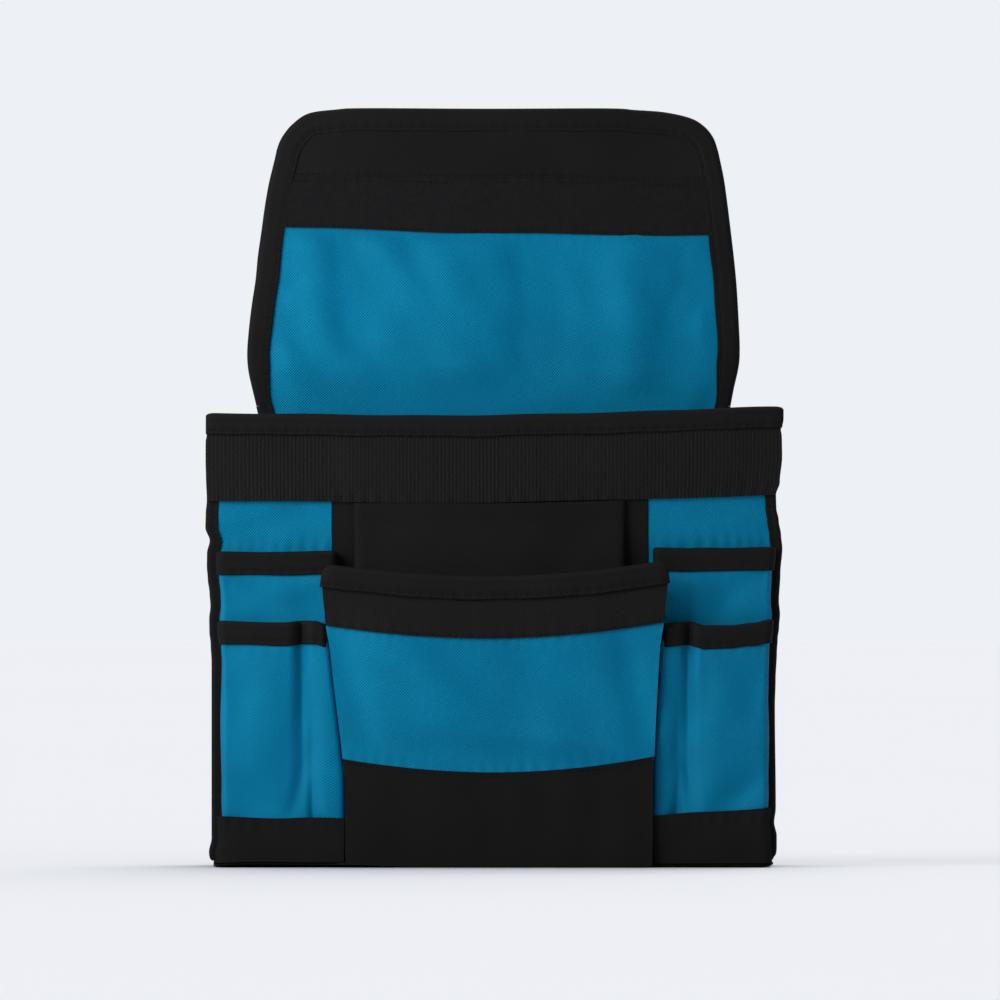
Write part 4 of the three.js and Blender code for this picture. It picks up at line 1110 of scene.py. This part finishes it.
piece = cloth("flap_inner_cloth", place(x, 4.0 + lining_shape, z), x, z, 0.6, blue_twill, body=None)
bend_tip(piece)
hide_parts("flap_root_lining", "flap_tongue_lining")

slope = np.gradient(edge_line, axis=0)
slope /= np.linalg.norm(slope, axis=-1, keepdims=True)
out = np.column_stack([-slope[:, 1], np.zeros(len(slope)), slope[:, 0]])
crest = np.column_stack([edge_line[:, 0], np.full(len(edge_line), 2.75), edge_line[:, 1]]) - out * 0.45
piece, stitch_line = folded_tape("flap_binding", crest, always(crest, FORWARD), out, 4.2, width=12.2, leaf=0.9, body=None,
                                 put=place, tuck=0, narrow=0.33)
bend_tip(piece)
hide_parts("flap_root_tape_left", "flap_root_tape_right", "flap_tongue_tape")
flap_stitches = stitches("flap_stitches", stitch_line, FORWARD, put=place, body=None)
bend_tip(flap_stitches)
back_line = stitch_line.copy()
back_line[:, 1] = 2.75 - (stitch_line[:, 1] - 2.75)
flap_stitches = stitches("flap_back_stitches", back_line, (0, -1, 0), put=place, body=None)
bend_tip(flap_stitches)


def strip_edge(x, left, right, dip):
    """A nearly straight edge across the flap: a height that changes evenly from left to right, and a dip."""
    share = (x + 120) / 240
    return left + (right - left) * share - dip * np.sin(math.pi * share) + 0.4 * np.sin(x / 17)


def flap_strip(name, node_name, low_edge, high_edge, thick, material, seed, proud):
    """A band of cloth across the flap's tip, with its ends under the tape."""
    u = np.linspace(0, 1, 200)[:, None]
    v = np.linspace(0, 1, 30)[None]
    middle_z = (low_edge(0.0) + high_edge(0.0)) / 2
    left, right = edge_x(middle_z, 9.5)
    x = left + (right - left) * u
    z = low_edge(x) + (high_edge(x) - low_edge(x)) * v
    limit_left, limit_right = edge_x(np.minimum(z, FLAP_TOP - 3), 9.5)
    x = limit_left + (limit_right - limit_left) * u
    shape = 0.28 * waves(x, z, 34, seed) - puckers(x, high_edge(x) - z, 0.18) - puckers(x, z - low_edge(x), 0.15)
    piece = cloth(name, place(x, proud + shape * 0.7, z), x, z, thick, material, body="flap_tongue")
    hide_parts(node_name)
    return piece


facing = flap_strip("flap_tip_facing_cloth", "flap_tip_facing", lambda x: strip_edge(x, 378.6, 376.2, -0.6),
                    lambda x: strip_edge(x, 409.5, 408.5, 0), 0.6, black_cloth, 151, 4.95)

# Loop pile: tiny hooks' counterpart, so its relief is a fine tangle, and it drinks up the light.
loop_pile, tree, shader = new_material("loop_pile")
position = node(tree, "TexCoord").outputs["Object"]
tangle = node(tree, "TexVoronoi", {"Vector": position, "Scale": 1500.0}, feature="F1")
clumps = node(tree, "TexNoise", {"Vector": position, "Scale": 300.0, "Detail": 4.0})
pile = maths(tree, "MULTIPLY_ADD", clumps.outputs["Fac"], 0.6, maths(tree, "MULTIPLY", tangle.outputs["Distance"], 0.5))
# The colour follows the pile's relief, darker low in the tangle and lighter on its clumps: painted shade and painted
# highlight.
colour = node(tree, "Mix", {"Factor": pile, "A": (0.0026, 0.0026, 0.003, 1), "B": (0.0085, 0.0085, 0.009, 1)}, data_type="RGBA")
tree.links.new(colour.outputs["Result"], shader.inputs["Base Color"])
bump = node(tree, "Bump", {"Height": pile, "Distance": 0.35 * MM})
tree.links.new(bump.outputs["Normal"], shader.inputs["Normal"])
shader.inputs["Roughness"].default_value = 0.95
shader.inputs["Specular IOR Level"].default_value = 0.08
shader.inputs["Sheen Weight"].default_value = 0.03
soft = flap_strip("flap_soft_strip_pile", "flap_soft_strip", lambda x: strip_edge(x, 352.3, 347.4, 1.2),
                  lambda x: strip_edge(x, 379.4, 377.0, -0.6), 0.9, loop_pile, 153, 5.15)
for row, (edge_from, edge_to, dip, lift) in enumerate(((353.9, 349.0, 1.2, 5.65), (377.6, 375.2, -0.6, 5.65), (381.4, 379.0, -0.6, 5.35))):
    x = np.linspace(-113, 113, 240)
    z = strip_edge(x, edge_from, edge_to, dip)
    left, right = edge_x(z, 12)
    x = left + (right - left) * np.linspace(0, 1, 240)
    line = np.column_stack([x, np.full(240, lift), z])
    stitches(f"flap_strip_stitches_{row}", line, FORWARD, put=place, body="flap_tongue")

# Below the mouth the flap's two layers run on down and are sewn to the back.
HINGE_FOOT = HINGE_LOW - 4


def below_mouth(z, inset):
    """The flap's left and right edges carried on straight below the mouth, moved in by an inset."""
    down = z - HINGE_HIGH
    left = FLAP_EDGE[0][0] + down * (FLAP_EDGE[1][0] - FLAP_EDGE[0][0]) / (FLAP_EDGE[1][1] - FLAP_EDGE[0][1])
    right = FLAP_EDGE[-1][0] + down * (FLAP_EDGE[-2][0] - FLAP_EDGE[-1][0]) / (FLAP_EDGE[-2][1] - FLAP_EDGE[-1][1])
    return left + inset, right - inset


z = np.linspace(HINGE_FOOT, HINGE_HIGH, 15)[None]
u = np.linspace(0, 1, 170)[:, None]
left, right = below_mouth(z, 1.7)
x, z = left + (right - left) * u, z + 0 * u
held = smooth((np.minimum(x - left, right - x) - 8.8) / 14)


def bend_mouth(piece):
    """The piece's place baked into its mesh, where it stays as it lies at rest."""
    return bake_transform(piece)


upper = smooth((z - HINGE_LOW) / 8)
piece = cloth("flap_hinge_outer_cloth", place(x, -0.5 + 1.8 * upper, z)[::-1], -x[::-1], z[::-1], 0.8, black_cloth, body=None)
bend_mouth(piece)
piece = cloth("flap_hinge_inner_cloth", place(x, 4.5 + (MOUTH_FULLNESS * held - 0.5) * upper, z), x, z, 0.6, blue_twill, body=None)
bend_mouth(piece)
for name, side in (("left", -1), ("right", 1)):
    z = np.linspace(HINGE_HIGH, HINGE_LOW + 1, 14)
    x = below_mouth(z, 0.45)[0 if side < 0 else 1]
    crest = np.column_stack([x, np.full(len(z), 2.75), z])
    down = (crest[-1] - crest[0]) / np.linalg.norm(crest[-1] - crest[0])
    out = always(crest, (-side * down[2], 0, side * down[0]))
    piece, line = folded_tape(f"flap_hinge_binding_{name}", crest, always(crest, FORWARD), out, 4.2, width=8.4, leaf=0.9,
                              body=None, put=place, tuck=0)
    bend_mouth(piece)
left, right = (float(a) for a in below_mouth(HINGE_LOW, 3))
for row in range(2):
    line = straight((left, -1.0, HINGE_LOW - 2.2 + 3 * row), (right, -1.0, HINGE_LOW - 2.2 + 3 * row))
    stitches(f"flap_seam_stitches_{row}", line, (0, -1, 0), put=place)
